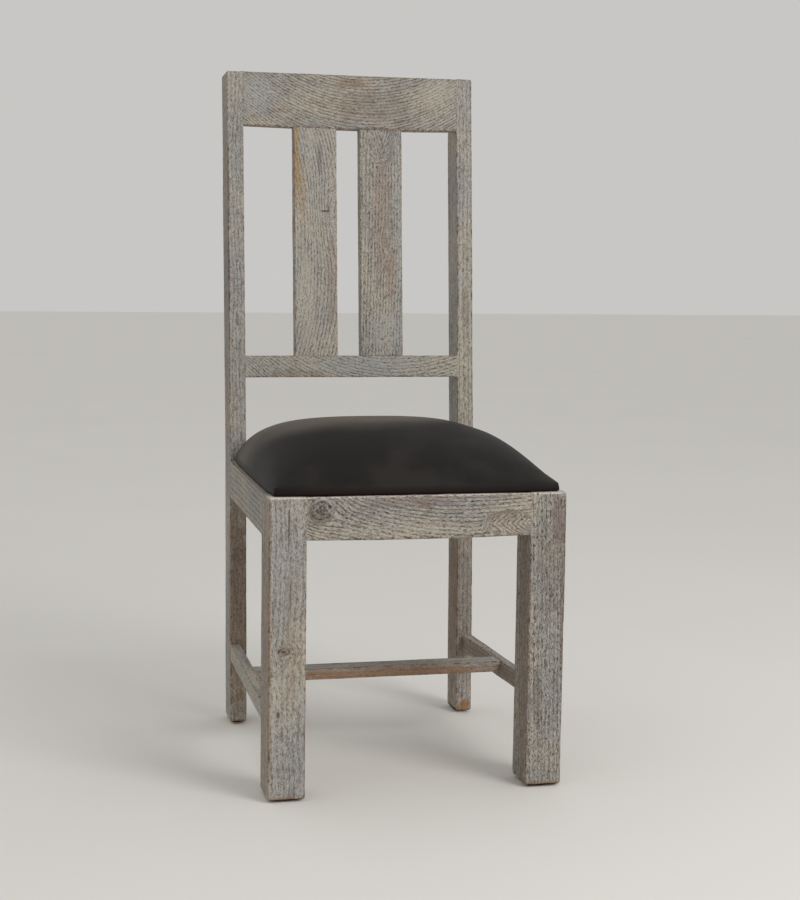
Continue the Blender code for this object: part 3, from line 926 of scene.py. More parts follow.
def turn_outward(mesh: bpy.types.Mesh) -> None:
    """Turn every face of a closed mesh outward.

    Args:
        mesh: The mesh, changed in place.
    """
    shape = bmesh.new()
    shape.from_mesh(mesh)
    shape.normal_update()
    bmesh.ops.recalc_face_normals(shape, faces=shape.faces[:])
    shape.to_mesh(mesh)
    shape.free()


@dataclass(frozen=True)
class ChairSizes:
    """The driving sizes of the chair, as the frame has them."""

    height: float = 1.100
    front_width: float = 0.450
    rear_width: float = 0.426
    seat_depth: float = 0.516
    frame_top: float = 0.450
    lean: float = 0.053
    sweep: float = 0.015
    leg_width: float = 0.056
    leg_depth: float = 0.066
    post_width: float = 0.028
    post_depth: float = 0.058
    apron_height: float = 0.063
    apron_thickness: float = 0.022
    stretcher: tuple[float, float] = (0.110, 0.138)
    crest_height: float = 0.089
    rail_rise: float = 0.140
    rail_height: float = 0.037
    foot: float = 0.0033
    gap: float = 0.0003
    bite: float = 0.0002

    @property
    def back_angle(self) -> float:
        """Give how far the back leans."""
        return math.atan2(self.lean, self.height - self.frame_top)

    @property
    def apron(self) -> tuple[float, float]:
        """Give the lower and the upper edge of the aprons."""
        return self.frame_top - self.apron_height, self.frame_top

    @property
    def front(self) -> float:
        """Give the y of the legs' front faces."""
        whole = self.seat_depth - self.post_depth + self.lean + self.post_depth * math.cos(self.back_angle)
        return -whole / 2

    @property
    def leg_back(self) -> float:
        """Give the y of the legs' rear faces."""
        return self.front + self.leg_depth

    @property
    def post_front(self) -> float:
        """Give the y of the posts' front faces, level with the seat frame's top."""
        return self.front + self.seat_depth - self.post_depth

    def post_face(self, height: float) -> float:
        """Give the place of the posts' front faces.

        Args:
            height: The height over the floor.

        Returns:
            Their y.
        """
        if height > self.frame_top:
            return self.post_front + self.lean * (height - self.frame_top) / (self.height - self.frame_top)
        return self.post_front - self.sweep * (self.frame_top - height) / self.frame_top

    def half_width(self, y: float, height: float) -> float:
        """Give half the chair's width between the leg and the post.

        Args:
            y: The place from front to rear.
            height: The height over the floor.

        Returns:
            The half width.
        """
        share = (y - self.leg_back) / (self.post_face(height) - self.leg_back)
        return self.front_width / 2 + (self.rear_width - self.front_width) / 2 * share

    def on_back(self, x: float, rise: float, deep: float) -> Vector:
        """Give a point of the leaning back.

        Args:
            x: The place across the chair.
            rise: The distance up the back from the seat frame.
            deep: The distance behind the back's front face.

        Returns:
            The point in space.
        """
        sine, cosine = math.sin(self.back_angle), math.cos(self.back_angle)
        return Vector((x, self.post_front + rise * sine + deep * cosine,
                       self.frame_top + rise * cosine - deep * sine))


SIZES = ChairSizes()


class Side(Enum):
    """The two sides of the chair, as the sign of x."""

    LEFT = -1
    RIGHT = 1

    @property
    def word(self) -> str:
        """Give the side's name, as the nodes have it."""
        return self.name.lower()


def corners_round(wide: Sequence[float], deep: Sequence[float]) -> tuple[tuple[float, float], ...]:
    """Give the corners of a section in a timber's order.

    Args:
        wide: The two ends across its show face.
        deep: Its show face and its hidden face.

    Returns:
        The four corners, the low front one first and then round the section.
    """
    return (wide[0], deep[0]), (wide[1], deep[0]), (wide[1], deep[1]), (wide[0], deep[1])


def leg_joints(side: Side, size: ChairSizes) -> tuple[Joint, ...]:
    """Give the stretches of a leg's arrises that its apron and its stretcher meet.

    Args:
        side: The side of the chair.
        size: The chair's sizes.

    Returns:
        The crisp stretches.
    """
    inner, rear = (1, 3) if side is Side.LEFT else (0, 2)
    return Joint(inner, *size.apron), Joint(rear, *size.apron), Joint(rear, *size.stretcher)


def post_joints(side: Side, size: ChairSizes) -> tuple[Joint, ...]:
    """Give the stretches of a post's arrises that the back rails, the apron and the stretcher meet.

    Args:
        side: The side of the chair.
        size: The chair's sizes.

    Returns:
        The crisp stretches.
    """
    inner, outer = (1, 0) if side is Side.LEFT else (0, 1)
    crest = (size.height - size.crest_height, size.height)
    rail_low = size.frame_top + size.rail_rise
    lower = (rail_low, rail_low + size.rail_height)
    return (
        Joint(inner, *crest), Joint(inner, *lower),
        Joint(outer, *size.apron), Joint(outer, *size.stretcher),
    )


@dataclass
class Legs:
    """The two square front legs."""

    sizes: ChairSizes = SIZES
    foot_round: float = 0.0052

    def build(self) -> list[bpy.types.Object]:
        """Make both legs."""
        return [self._leg(Side.LEFT, self._left_finish()), self._leg(Side.RIGHT, self._right_finish())]

    def _leg(self, side: Side, finish: WashedWood) -> bpy.types.Object:
        """Make one leg in its own finish.

        Args:
            side: Which of the two.
            finish: Its finish.

        Returns:
            The leg.
        """
        node = f"front_leg_{side.word}"
        low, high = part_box(node)
        plan = corners_round((low.x, high.x), (low.y, high.y))
        chips = (
            Chip(1 if side is Side.LEFT else 0, 0.105, 0.012, 1.4 * MM), Chip(0, 0.30, 0.010, 0.9 * MM),
            Chip(1, 0.245, 0.014, 1.6 * MM), Chip(0, 0.060, 0.016, 1.3 * MM),
            Chip(1, 0.385, 0.008, 1.1 * MM),
        )
        timber = Timber(
            name=f"leg_timber_{side.word}", node=node, width=self.sizes.leg_width,
            depth=self.sizes.leg_depth, stations=[
                (level, tuple(Vector((x, y, level)) for x, y in plan)) for level in (low.z, high.z)
            ], finish=finish, low_cut=Cut(self.foot_round, 0.55), high_cut=Cut(0.0010), chips=chips,
            arris=0.0019, joints=leg_joints(side, self.sizes),
        )
        return timber.build()

    def _left_finish(self) -> WashedWood:
        """Give the left leg's finish: one small knot, and a bare band down its outer arris.

        Returns:
            The finish.
        """
        face = -self.sizes.leg_depth / 2
        middle = -(self.sizes.front_width - self.sizes.leg_width) / 2
        stains = (
            Stain(-self.sizes.leg_width / 2, face, 0.24, 0.0036, 0.26, Wash.RAW.value, 0.55),
            # painted highlight along the leg's lit top edge
            Stain(0.0, face, self.sizes.frame_top, 0.05, 0.0022, Wash.PAINTED_HIGHLIGHT.value, 0.9, 0.05),
            Stain(-0.202 - middle, face, 0.2251, 0.011, 0.009, Wash.WARM.value, 0.6),
            Stain(0.0012, face, 0.403, 0.0011, 0.040, Wash.SOOT.value, 0.75),
            Stain(0.0040, face, 0.300, 0.0009, 0.030, Wash.SOOT.value, 0.55),
            Stain(-0.2102 - middle, face, 0.132, 0.0026, 0.006, Wash.SOOT.value, 0.7),
            Stain(0.006, face, 0.235, 0.014, 0.10, Wash.WARM.value, 0.30),
            # painted shade on the leg's outer side face, which is turned away from the lamp
            Stain(-self.sizes.leg_width / 2, 0.002, 0.22, 0.005, 0.30, Wash.UMBER.value, 0.35, 0.035),
        )
        return WashedWood(
            Figure(across=0.085, deep=0.06, lean_across=0.02, ring=0.0060, wander=0.012), seed=1.3,
            cover=0.64, knots=(Knot(-0.202 - middle, face, 0.2251, 0.0086, 0.60, 1.0),), stains=stains,
            warmth=0.5, lines=0.45,
        )

    def _right_finish(self) -> WashedWood:
        """Give the right leg's finish: greyer, with dense dark pores and a mauve patch at its top.

        Returns:
            The finish.
        """
        face = -self.sizes.leg_depth / 2
        stains = (
            Stain(0.015, face, 0.405, 0.013, 0.045, Wash.MAUVE.value, 0.65),
            Stain(0.004, face, 0.350, 0.026, 0.10, Wash.BROWN.value, 0.25),
            # painted highlight along the leg's lit top edge
            Stain(0.0, face, self.sizes.frame_top, 0.05, 0.0022, Wash.PAINTED_HIGHLIGHT.value, 0.9, 0.05),
            Stain(0.026, face, 0.30, 0.005, 0.16, Wash.BROWN.value, 0.45),
            # painted shade on the leg's inner side face, which is turned away from the lamp
            Stain(-0.028, -0.01, 0.20, 0.004, 0.25, Wash.UMBER.value, 0.40, 0.03),
            Stain(-0.012, face, 0.135, 0.008, 0.06, Wash.BROWN.value, 0.35),
        )
        return WashedWood(
            Figure(across=-0.11, deep=0.05, lean_across=-0.02, ring=0.0050, wander=0.010), seed=4.7,
            cover=0.51, pores=1.25, warmth=0.2, lines=0.5, stains=stains,
        )


@dataclass
class Posts:
    """The two long rear posts, foot to top rail, with a bend at the seat."""

    sizes: ChairSizes = SIZES

    def build(self) -> list[bpy.types.Object]:
        """Make both posts."""
        return [self._post(Side.LEFT, self._left_finish()), self._post(Side.RIGHT, self._right_finish())]

    def _stations(self, side: Side) -> list[tuple[float, Quad]]:
        """Give the sections at the foot, at the bend and at the top.

        Args:
            side: Which of the two.

        Returns:
            Each height and its section.
        """
        size = self.sizes
        outer = side.value * size.rear_width / 2
        x = sorted((outer, outer - side.value * size.post_width))
        sweep = math.atan2(size.sweep, size.frame_top)
        levels = (
            (size.foot, 0.0, size.post_depth / math.cos(sweep)),
            (size.frame_top, (size.back_angle + sweep) / 2,
             size.post_depth / math.cos((size.back_angle - sweep) / 2)),
            (size.height, size.back_angle, size.post_depth),
        )
        stations = []
        for height, angle, depth in levels:
            y = size.post_face(height)
            back = Vector((0, depth * math.cos(angle), -depth * math.sin(angle)))
            near = [Vector((x[0], y, height)), Vector((x[1], y, height))]
            stations.append((height, (near[0], near[1], near[1] + back, near[0] + back)))
        return stations

    def _post(self, side: Side, finish: WashedWood) -> bpy.types.Object:
        """Make one post in its own finish.

        Args:
            side: Which of the two.
            finish: Its finish.

        Returns:
            The post.
        """
        chips = tuple(Chip(corner, along, 0.010, depth * MM) for corner, along, depth in (
            (0, 0.71, 1.2), (0, 0.84, 0.9), (1, 0.62, 0.8), (1, 0.93, 1.0), (0, 0.55, 1.1), (1, 0.22, 1.3),
            (0, 0.97, 1.2), (1, 0.06, 1.6),
        ))
        timber = Timber(
            name=f"post_timber_{side.word}", node=f"rear_post_{side.word}", width=self.sizes.post_width,
            depth=self.sizes.post_depth, stations=self._stations(side), finish=finish,
            low_cut=Cut(0.0050, 0.6), high_cut=Cut(0.0026), chips=chips, arris=0.0018,
            joints=post_joints(side, self.sizes),
        )
        return timber.build()

    def _left_finish(self) -> WashedWood:
        """Give the left post's finish: browner below the seat, with an eye of figure there.

        Returns:
            The finish.
        """
        face = -self.sizes.post_depth / 2
        stains = (
            Stain(0.0, face, 0.20, 0.030, 0.22, Wash.UMBER.value, 0.60, 0.02),
            Stain(0.004, face, 0.09, 0.006, 0.07, Wash.WARM.value, 0.6),
            Stain(-0.0135, face, 0.80, 0.0015, 0.20, Wash.SOOT.value, 0.5, 0.004),
            # painted shade on the post's outer side face, which is turned away from the lamp
            Stain(-0.014, 0.0, 0.80, 0.004, 0.40, Wash.BROWN.value, 0.35, 0.035),
        )
        return WashedWood(
            Figure(across=0.07, deep=0.05, ring=0.0046, wander=0.014), seed=7.9, cover=0.66, warmth=0.25,
            lines=0.5, knots=(Knot(0.0, face, 0.290, 0.0080, 1.6, 0.45),), stains=stains,
        )

    def _right_finish(self) -> WashedWood:
        """Give the right post's finish: brown below the seat, raw orange at its foot.

        Returns:
            The finish.
        """
        face = -self.sizes.post_depth / 2
        stains = (
            Stain(0.0, face, 0.22, 0.030, 0.20, Wash.UMBER.value, 0.30, 0.02),
            Stain(0.002, face, 0.014, 0.012, 0.012, Wash.RAW.value, 0.95, 0.02),
            Stain(-0.008, face, 0.75, 0.0022, 0.16, Wash.CREAM.value, 0.7, 0.004),
            Stain(0.0, face, 0.70, 0.008, 0.05, Wash.WARM.value, 0.35),
            # painted shade on the post's inner side face below the seat, which is turned away from the lamp
            Stain(-0.014, 0.0, 0.20, 0.004, 0.22, Wash.UMBER.value, 0.60, 0.035),
        )
        return WashedWood(
            Figure(across=-0.08, deep=0.05, ring=0.0050, wander=0.012), seed=11.2, cover=0.66, warmth=0.5,
            stains=stains,
        )


@dataclass
class BackRails:
    """The crest rail, the lower rail and the two slats between the posts."""

    sizes: ChairSizes = SIZES
    rail_thickness: float = 0.023
    slat_width: float = 0.074
    slat_gap: float = 0.040
    slat_thickness: float = 0.020
    slat_set_back: float = 0.001
    slat_shift: float = -0.006

    @property
    def length(self) -> float:
        """Give the length of the back, along its lean."""
        return (self.sizes.height - self.sizes.frame_top) / math.cos(self.sizes.back_angle)

    @property
    def half(self) -> float:
        """Give half the clear width between the posts."""
        return self.sizes.rear_width / 2 - self.sizes.post_width

    def build(self) -> list[bpy.types.Object]:
        """Make the four boards.

        Returns:
            The boards.
        """
        crest_low = self.length - self.sizes.crest_height
        rail_low = self.sizes.rail_rise
        rail_top = rail_low + self.sizes.rail_height
        crest = self._rail("crest_rail", (crest_low, self.length), self._crest_finish(), (0.0024, -0.0018))
        lower = self._rail("lower_back_rail", (rail_low, rail_top), self._lower_finish(), (0.0, 0.0))
        levels = (rail_top - self.sizes.bite, crest_low + self.sizes.bite)
        left = self._slat(Side.LEFT, levels, self._left_slat_finish())
        right = self._slat(Side.RIGHT, levels, self._right_slat_finish())
        return [crest, lower, left, right]

    def _rail(self, node: str, rise: tuple[float, float], finish: WashedWood,
              belly: tuple[float, float]) -> bpy.types.Object:
        """Make a level board between the posts.

        Args:
            node: The CAD node that it stands for.
            rise: Its lower and upper edge, up the back.
            finish: Its finish.
            belly: How far its lower and upper edges swell at mid length.

        Returns:
            The board.
        """
        def section(x: float) -> Quad:
            """Give the section at one x."""
            corners = corners_round(rise, (0.0, self.rail_thickness))
            return tuple(self.sizes.on_back(x, up, back) for up, back in corners)

        ends = (-self.half - self.sizes.bite, self.half + self.sizes.bite)
        chips = (
            Chip(0, -0.06, 0.012, 1.0 * MM), Chip(0, 0.09, 0.02, 0.8 * MM), Chip(1, 0.02, 0.015, 0.8 * MM),
        )
        timber = Timber(
            name=node.replace("rail", "timber"), node=node, width=rise[1] - rise[0],
            depth=self.rail_thickness, stations=[(x, section(x)) for x in ends], finish=finish,
            belly=belly, chips=chips, arris=BOARD_ARRIS,
        )
        return timber.build()

    def _slat(self, side: Side, rise: tuple[float, float], finish: WashedWood) -> bpy.types.Object:
        """Make one upright board.

        Args:
            side: Which of the two.
            rise: Its lower and upper end, up the back.
            finish: Its finish.

        Returns:
            The board.
        """
        inner = self.slat_shift + side.value * self.slat_gap / 2
        x = sorted((inner, inner + side.value * self.slat_width))
        deep = (self.slat_set_back, self.slat_set_back + self.slat_thickness)

        def section(up: float) -> Quad:
            """Give the section at one rise."""
            return tuple(self.sizes.on_back(across, up, back) for across, back in corners_round(x, deep))

        chips = (
            Chip(0, 0.43, 0.012, 0.9 * MM), Chip(1, 0.37, 0.016, 1.0 * MM), Chip(1, 0.25, 0.01, 0.8 * MM),
        )
        timber = Timber(
            name=f"slat_timber_{side.word}", node=f"back_slat_{side.word}", width=self.slat_width,
            depth=self.slat_thickness, stations=[(up, section(up)) for up in rise], finish=finish,
            chips=chips, arris=BOARD_ARRIS,
        )
        return timber.build()

    def _crest_finish(self) -> WashedWood:
        """Give the crest rail's finish: long rings that sag to the middle.

        Returns:
            The finish.
        """
        face = -self.rail_thickness / 2
        stains = (
            Stain(0.030, face, -0.002, 0.010, 0.030, Wash.WARM.value, 0.55),
            Stain(-0.010, face, 0.03, 0.030, 0.09, Wash.WARM.value, 0.30),
            Stain(-0.020, face, -0.120, 0.005, 0.010, Wash.RAW.value, 0.35),
            Stain(0.012, face, -0.140, 0.0012, 0.022, Wash.CREAM.value, 0.9),
            Stain(0.010, face, -0.160, 0.035, 0.028, Wash.GREY.value, 0.55),
            Stain(0.020, face, 0.150, 0.030, 0.035, Wash.CREAM.value, 0.40),
        )
        return WashedWood(
            Figure(across=0.30, deep=0.03, bow=1.9, bow_at=0.0235, ring=0.0052, wander=0.006), seed=15.4,
            cover=0.60, pores=0.7, lines=0.85, warmth=0.5, stains=stains,
        )

    def _lower_finish(self) -> WashedWood:
        """Give the lower rail's finish: grey, with wavy grain.

        Returns:
            The finish.
        """
        face = -self.rail_thickness / 2
        stains = (
            Stain(-0.012, face, -0.10, 0.007, 0.06, Wash.WARM.value, 0.45),
            Stain(0.002, face, 0.03, 0.020, 0.12, Wash.GREY.value, 0.4),
        )
        return WashedWood(
            Figure(
                across=0.20, deep=0.05, lean_across=-0.18, bow=1.6, bow_at=0.02, ring=0.0055, wander=0.014,
            ), seed=18.8, cover=0.74, pores=0.9, lines=0.85, warmth=0.05, stains=stains,
        )

    def _left_slat_finish(self) -> WashedWood:
        """Give the left slat's finish: creamy, gold down its upper left edge, rings bowed to the right.

        Returns:
            The finish.
        """
        face = -self.slat_thickness / 2
        centre = self.slat_shift - (self.slat_gap + self.slat_width) / 2
        stains = (
            Stain(-0.033, face, 0.50, 0.0070, 0.080, Wash.GOLD.value, 0.65),
            Stain(-0.022, face, 0.46, 0.0060, 0.060, Wash.GOLD.value, 0.35),
            Stain(-0.010, face, 0.53, 0.0100, 0.050, Wash.CREAM.value, 0.45),
            Stain(-0.0471 - centre, face, 0.4216, 0.0090, 0.0018, Wash.PORE.value, 0.8),
            Stain(-0.018, face, 0.28, 0.016, 0.08, Wash.CREAM.value, 0.6),
            Stain(0.008, face, 0.51, 0.004, 0.03, Wash.SOOT.value, 0.35),
            Stain(0.026, face, 0.30, 0.010, 0.09, Wash.WARM.value, 0.3),
        )
        return WashedWood(
            Figure(across=0.15, deep=0.02, bow=-0.75, bow_at=0.36, ring=0.0058, wander=0.014), seed=22.1,
            cover=0.74, pores=0.75, lines=0.8, warmth=0.45, stains=stains,
            knots=(Knot(0.040, face, 0.4202, 0.0130, 2.4, 0.25),),
        )

    def _right_slat_finish(self) -> WashedWood:
        """Give the right slat's finish: brown arches up its middle, greyer towards its foot.

        Returns:
            The finish.
        """
        face = -self.slat_thickness / 2
        stains = (
            Stain(0.0, face, 0.42, 0.018, 0.13, Wash.ROSE.value, 0.40),
            Stain(0.018, face, 0.325, 0.012, 0.05, Wash.ROSE.value, 0.5),
            Stain(0.010, face, 0.22, 0.030, 0.04, Wash.GREY.value, 0.5),
            Stain(0.030, face, 0.40, 0.010, 0.14, Wash.GREY.value, 0.35),
        )
        return WashedWood(
            Figure(across=-0.10, deep=0.05, lean_across=0.03, ring=0.0044, wander=0.022), seed=26.5,
            cover=0.62, pores=0.9, lines=0.7, warmth=0.55, stains=stains,
            knots=(Knot(0.008, face, 0.374, 0.0050, 2.0, 0.35),),
            flames=(Flame(0.002, face, 0.560, 0.024, 0.060, 2.8, 0.014),),
        )


@dataclass
class SeatFrame:
    """The four aprons under the seat."""

    sizes: ChairSizes = SIZES
    rear_set_back: float = 0.0003
    rear_rise: float = 0.0024

    def build(self) -> list[bpy.types.Object]:
        """Make the aprons.

        Returns:
            The aprons.
        """
        size = self.sizes
        front_half = size.front_width / 2 - size.leg_width + size.bite
        rear_half = size.rear_width / 2 - size.post_width + size.bite
        front = self._across("front_apron", size.front, front_half, self._front_finish(), (0.0022, 0.0), 0.0)
        rear_finish = WashedWood(Figure(across=-0.12, deep=0.05, ring=0.006), seed=33.3, cover=0.60)
        rear = self._across("rear_apron", size.post_front + self.rear_set_back, rear_half, rear_finish,
                            (0.0, 0.0), self.rear_rise)
        sides = [self._along(side) for side in Side]
        return [front, rear, *sides]

    def _across(self, node: str, face: float, half: float, finish: WashedWood,
                belly: tuple[float, float], rise: float) -> bpy.types.Object:
        """Make the front or the rear apron.

        Args:
            node: The CAD node that it stands for.
            face: The y of its front.
            half: Half its length.
            finish: Its finish.
            belly: How far its lower and upper edges swell at mid length.
            rise: How far it stands over the frame's top.

        Returns:
            The apron.
        """
        size = self.sizes
        z = (size.apron[0], size.apron[1] + rise)
        y = (face, face + size.apron_thickness)

        def section(x: float) -> Quad:
            """Give the section at one x."""
            return tuple(Vector((x, place, height)) for height, place in corners_round(z, y))

        chips = (
            Chip(0, -0.095, 0.008, 1.6 * MM), Chip(0, -0.05, 0.015, 0.9 * MM), Chip(0, 0.07, 0.02, 0.9 * MM),
        )
        timber = Timber(
            name=node.replace("apron", "apron_timber"), node=node, width=size.apron_height,
            depth=size.apron_thickness, stations=[(x, section(x)) for x in (-half, half)], finish=finish,
            belly=belly, chips=chips, arris=BOARD_ARRIS,
        )
        return timber.build()

    def _along(self, side: Side) -> bpy.types.Object:
        """Make a side apron, flush with the leg and the post.

        Args:
            side: The side of the chair.

        Returns:
            The apron.
        """
        finish = WashedWood(
            Figure(across=-0.13, deep=0.07, ring=0.0075), seed=36.6 + side.value, cover=0.54, pores=0.45,
            warmth=0.3, bare=0.4,
        )
        node = f"side_apron_{side.word}"
        return side_rail(side, node, self.sizes.apron_thickness, self.sizes.apron, finish)

    def _front_finish(self) -> WashedWood:
        """Give the front apron's finish: a knot at its left end, flame at its right.

        Returns:
            The finish.
        """
        face = -self.sizes.apron_thickness / 2
        centre = self.sizes.frame_top - self.sizes.apron_height / 2
        stains = (
            # painted highlight along the apron's lit top edge
            Stain(self.sizes.apron_height / 2, face, 0.0, 0.0020, 0.40, Wash.PAINTED_HIGHLIGHT.value, 0.9, 0.009),
            Stain(0.019, face, 0.0057, 0.0065, 0.012, Wash.WARM.value, 0.75),
            Stain(-0.004, face, 0.135, 0.012, 0.035, Wash.WARM.value, 0.40),
            Stain(0.006, face, -0.150, 0.018, 0.020, Wash.BROWN.value, 0.50),
            Stain(0.022, face, -0.02, 0.008, 0.09, Wash.MAUVE.value, 0.45),
            Stain(-0.020, face, -0.02, 0.010, 0.12, Wash.CREAM.value, 0.4),
        )
        return WashedWood(
            Figure(
                across=-0.16, deep=0.03, lean_across=-0.05, bow=0.9, bow_at=0.06, ring=0.0058, wander=0.016,
            ), seed=30.2, cover=0.58, pores=1.0, lines=0.9, warmth=0.45, stains=stains,
            knots=(Knot(0.4301 - centre, face, -0.1490, 0.0135, 1.15, 0.85),),
            flames=(Flame(-0.0150, face, 0.138, 0.018, 0.042, 1.35, 0.0078),),
        )


def side_rail(side: Side, node: str, thickness: float, heights: tuple[float, float],
              finish: WashedWood) -> bpy.types.Object:
    """Make a rail between a leg and a post, flush with their outer faces.

    Args:
        side: The side of the chair.
        node: The CAD node that it stands for.
        thickness: How far it reaches inward.
        heights: Its lower and upper edge.
        finish: Its finish.

    Returns:
        The rail.
    """
    def section(end: Callable[[float], float]) -> Quad:
        """Give the section at one end.

        Args:
            end: The y of the end at a height.

        Returns:
            The section.
        """
        corners = []
        for height, inward in corners_round(heights, (0.0, thickness)):
            y = end(height)
            corners.append(Vector((side.value * (SIZES.half_width(y, height) - inward), y, height)))
        return tuple(corners)

    near = section(lambda height: SIZES.leg_back - SIZES.bite)
    far = section(lambda height: SIZES.post_face(height) + SIZES.bite)
    timber = Timber(
        name=node.replace("side", "side_timber"), node=node, width=heights[1] - heights[0], depth=thickness,
        stations=[(near[0].y, near), (far[0].y, far)], finish=finish, arris=BOARD_ARRIS,
    )
    return timber.build()


@dataclass
class Stretchers:
    """The two low side rails and the flat rail that joins them."""

    sizes: ChairSizes = SIZES
    side_thickness: float = 0.017
    cross_place: float = 0.245
    cross_width: float = 0.038
    cross_thickness: float = 0.018

    def build(self) -> list[bpy.types.Object]:
        """Make the three stretchers.

        Returns:
            The stretchers.
        """
        heights = self.sizes.stretcher
        pale = WashedWood(
            Figure(across=-0.10, deep=0.06, ring=0.006), seed=41.0, cover=0.72, pores=0.35, warmth=0.3,
        )
        warm = WashedWood(
            Figure(across=-0.10, deep=-0.05, ring=0.006), seed=44.0, cover=0.50, pores=0.5, warmth=0.6,
            stains=(Stain(0.0, 0.0085, 0.0, 0.013, 0.3, Wash.WARM.value, 0.6, 0.006),),
        )
        left = side_rail(Side.LEFT, "side_stretcher_left", self.side_thickness, heights, pale)
        right = side_rail(Side.RIGHT, "side_stretcher_right", self.side_thickness, heights, warm)
        return [left, right, self._cross()]

    def _cross(self) -> bpy.types.Object:
        """Make the cross stretcher, whose ends follow the splay of the side stretchers.

        Returns:
            The stretcher.
        """
        near_y = self.sizes.front + self.cross_place
        y = (near_y, near_y + self.cross_width)
        top = self.sizes.stretcher[1]
        z = (top - self.cross_thickness, top)

        def section(side: Side) -> Quad:
            """Give the section at one end."""
            corners = []
            for height, place in corners_round(z, y):
                half = self.sizes.half_width(place, height) - self.side_thickness + self.sizes.bite
                corners.append(Vector((side.value * half, place, height)))
            return tuple(corners)

        finish = WashedWood(
            Figure(across=-0.12, deep=0.05, ring=0.0055), seed=47.5, cover=0.68, pores=0.45, warmth=0.7,
            stains=(Stain(-0.002, -0.019, 0.0, 0.010, 0.25, Wash.RAW.value, 0.75, 0.005),),
        )
        near, far = section(Side.LEFT), section(Side.RIGHT)
        timber = Timber(
            name="cross_timber", node="cross_stretcher", width=self.cross_thickness, depth=self.cross_width,
            stations=[(near[0].x, near), (far[0].x, far)], finish=finish, arris=BOARD_ARRIS,
        )
        return timber.build()


@dataclass(frozen=True)
class Leather:
    """Dark, waxed leather with fine grain and a soft sheen, with a painted sheen on its top and painted
    shade along its lower edge.
    """

    body: Colour = tint(31, 29, 29)
    # painted sheen: the lighter colour laid on the seat's top, where the leather catches the light
    painted_sheen: Colour = tint(104, 96, 87)
    # painted shade: the dark colour laid along the pad's lower edge, under its rolled edge
    deep: Colour = tint(30, 17, 15)

    def material(self, name: str) -> bpy.types.Material:
        """Write the finish as a material.

        Args:
            name: The material's name.

        Returns:
            The material.
        """
        swatch = Swatch(name)
        x, y, z = swatch.place()
        # on the pad this share marks where its lower edge takes painted shade
        worn_and_shaded = swatch.share("wear_and_shade")
        clouds = swatch.noise(x * 9.0, y * 9.0, z * 9.0, 3.0)
        fine = swatch.noise(x * 260.0, y * 260.0, z * 260.0, 2.0)
        pull = (fine - 0.5) * 0.5
        grain = swatch.cells(x * 620.0 + pull, y * 620.0 + pull, z * 620.0)
        crease = swatch.noise(x * 46.0, y * 46.0, z * 46.0, 3.0, 0.62)
        # painted sheen: a soft patch on the seat's top, behind and left of its middle, mixed towards the
        # lighter colour
        aside, inward = x + 0.05, y - 0.07
        top = (aside * aside / 0.036 + inward * inward / 0.026 + (clouds - 0.5) * 1.0).between(1.5, 0.0)
        colour = swatch.mix((top * 0.95 + clouds.between(0.45, 0.70) * 0.10).held(), self.body, self.painted_sheen)
        # painted shade: the pad's lower edge is mixed towards the dark colour
        colour = swatch.mix(worn_and_shaded * 0.85, colour, self.deep)
        rough = clouds * 0.12 + fine * 0.08 + 0.40
        height = grain.between(0.0, 0.22) * 0.5 + crease * 0.6
        return swatch.finish(colour, rough, height, 0.25 * MM, specular=0.10)


@dataclass(frozen=True)
class Swelling:
    """How far and how long the stuffing presses on the leather."""

    pressure: float = 4.0
    frames: int = 20
    cap: float = 0.0026
    stiffness: float = 25.0
    bending: float = 4.0
    quality: int = 5
    fade: float = 0.012
    hold_rise: float = -0.001
    hold_fade: float = 0.006


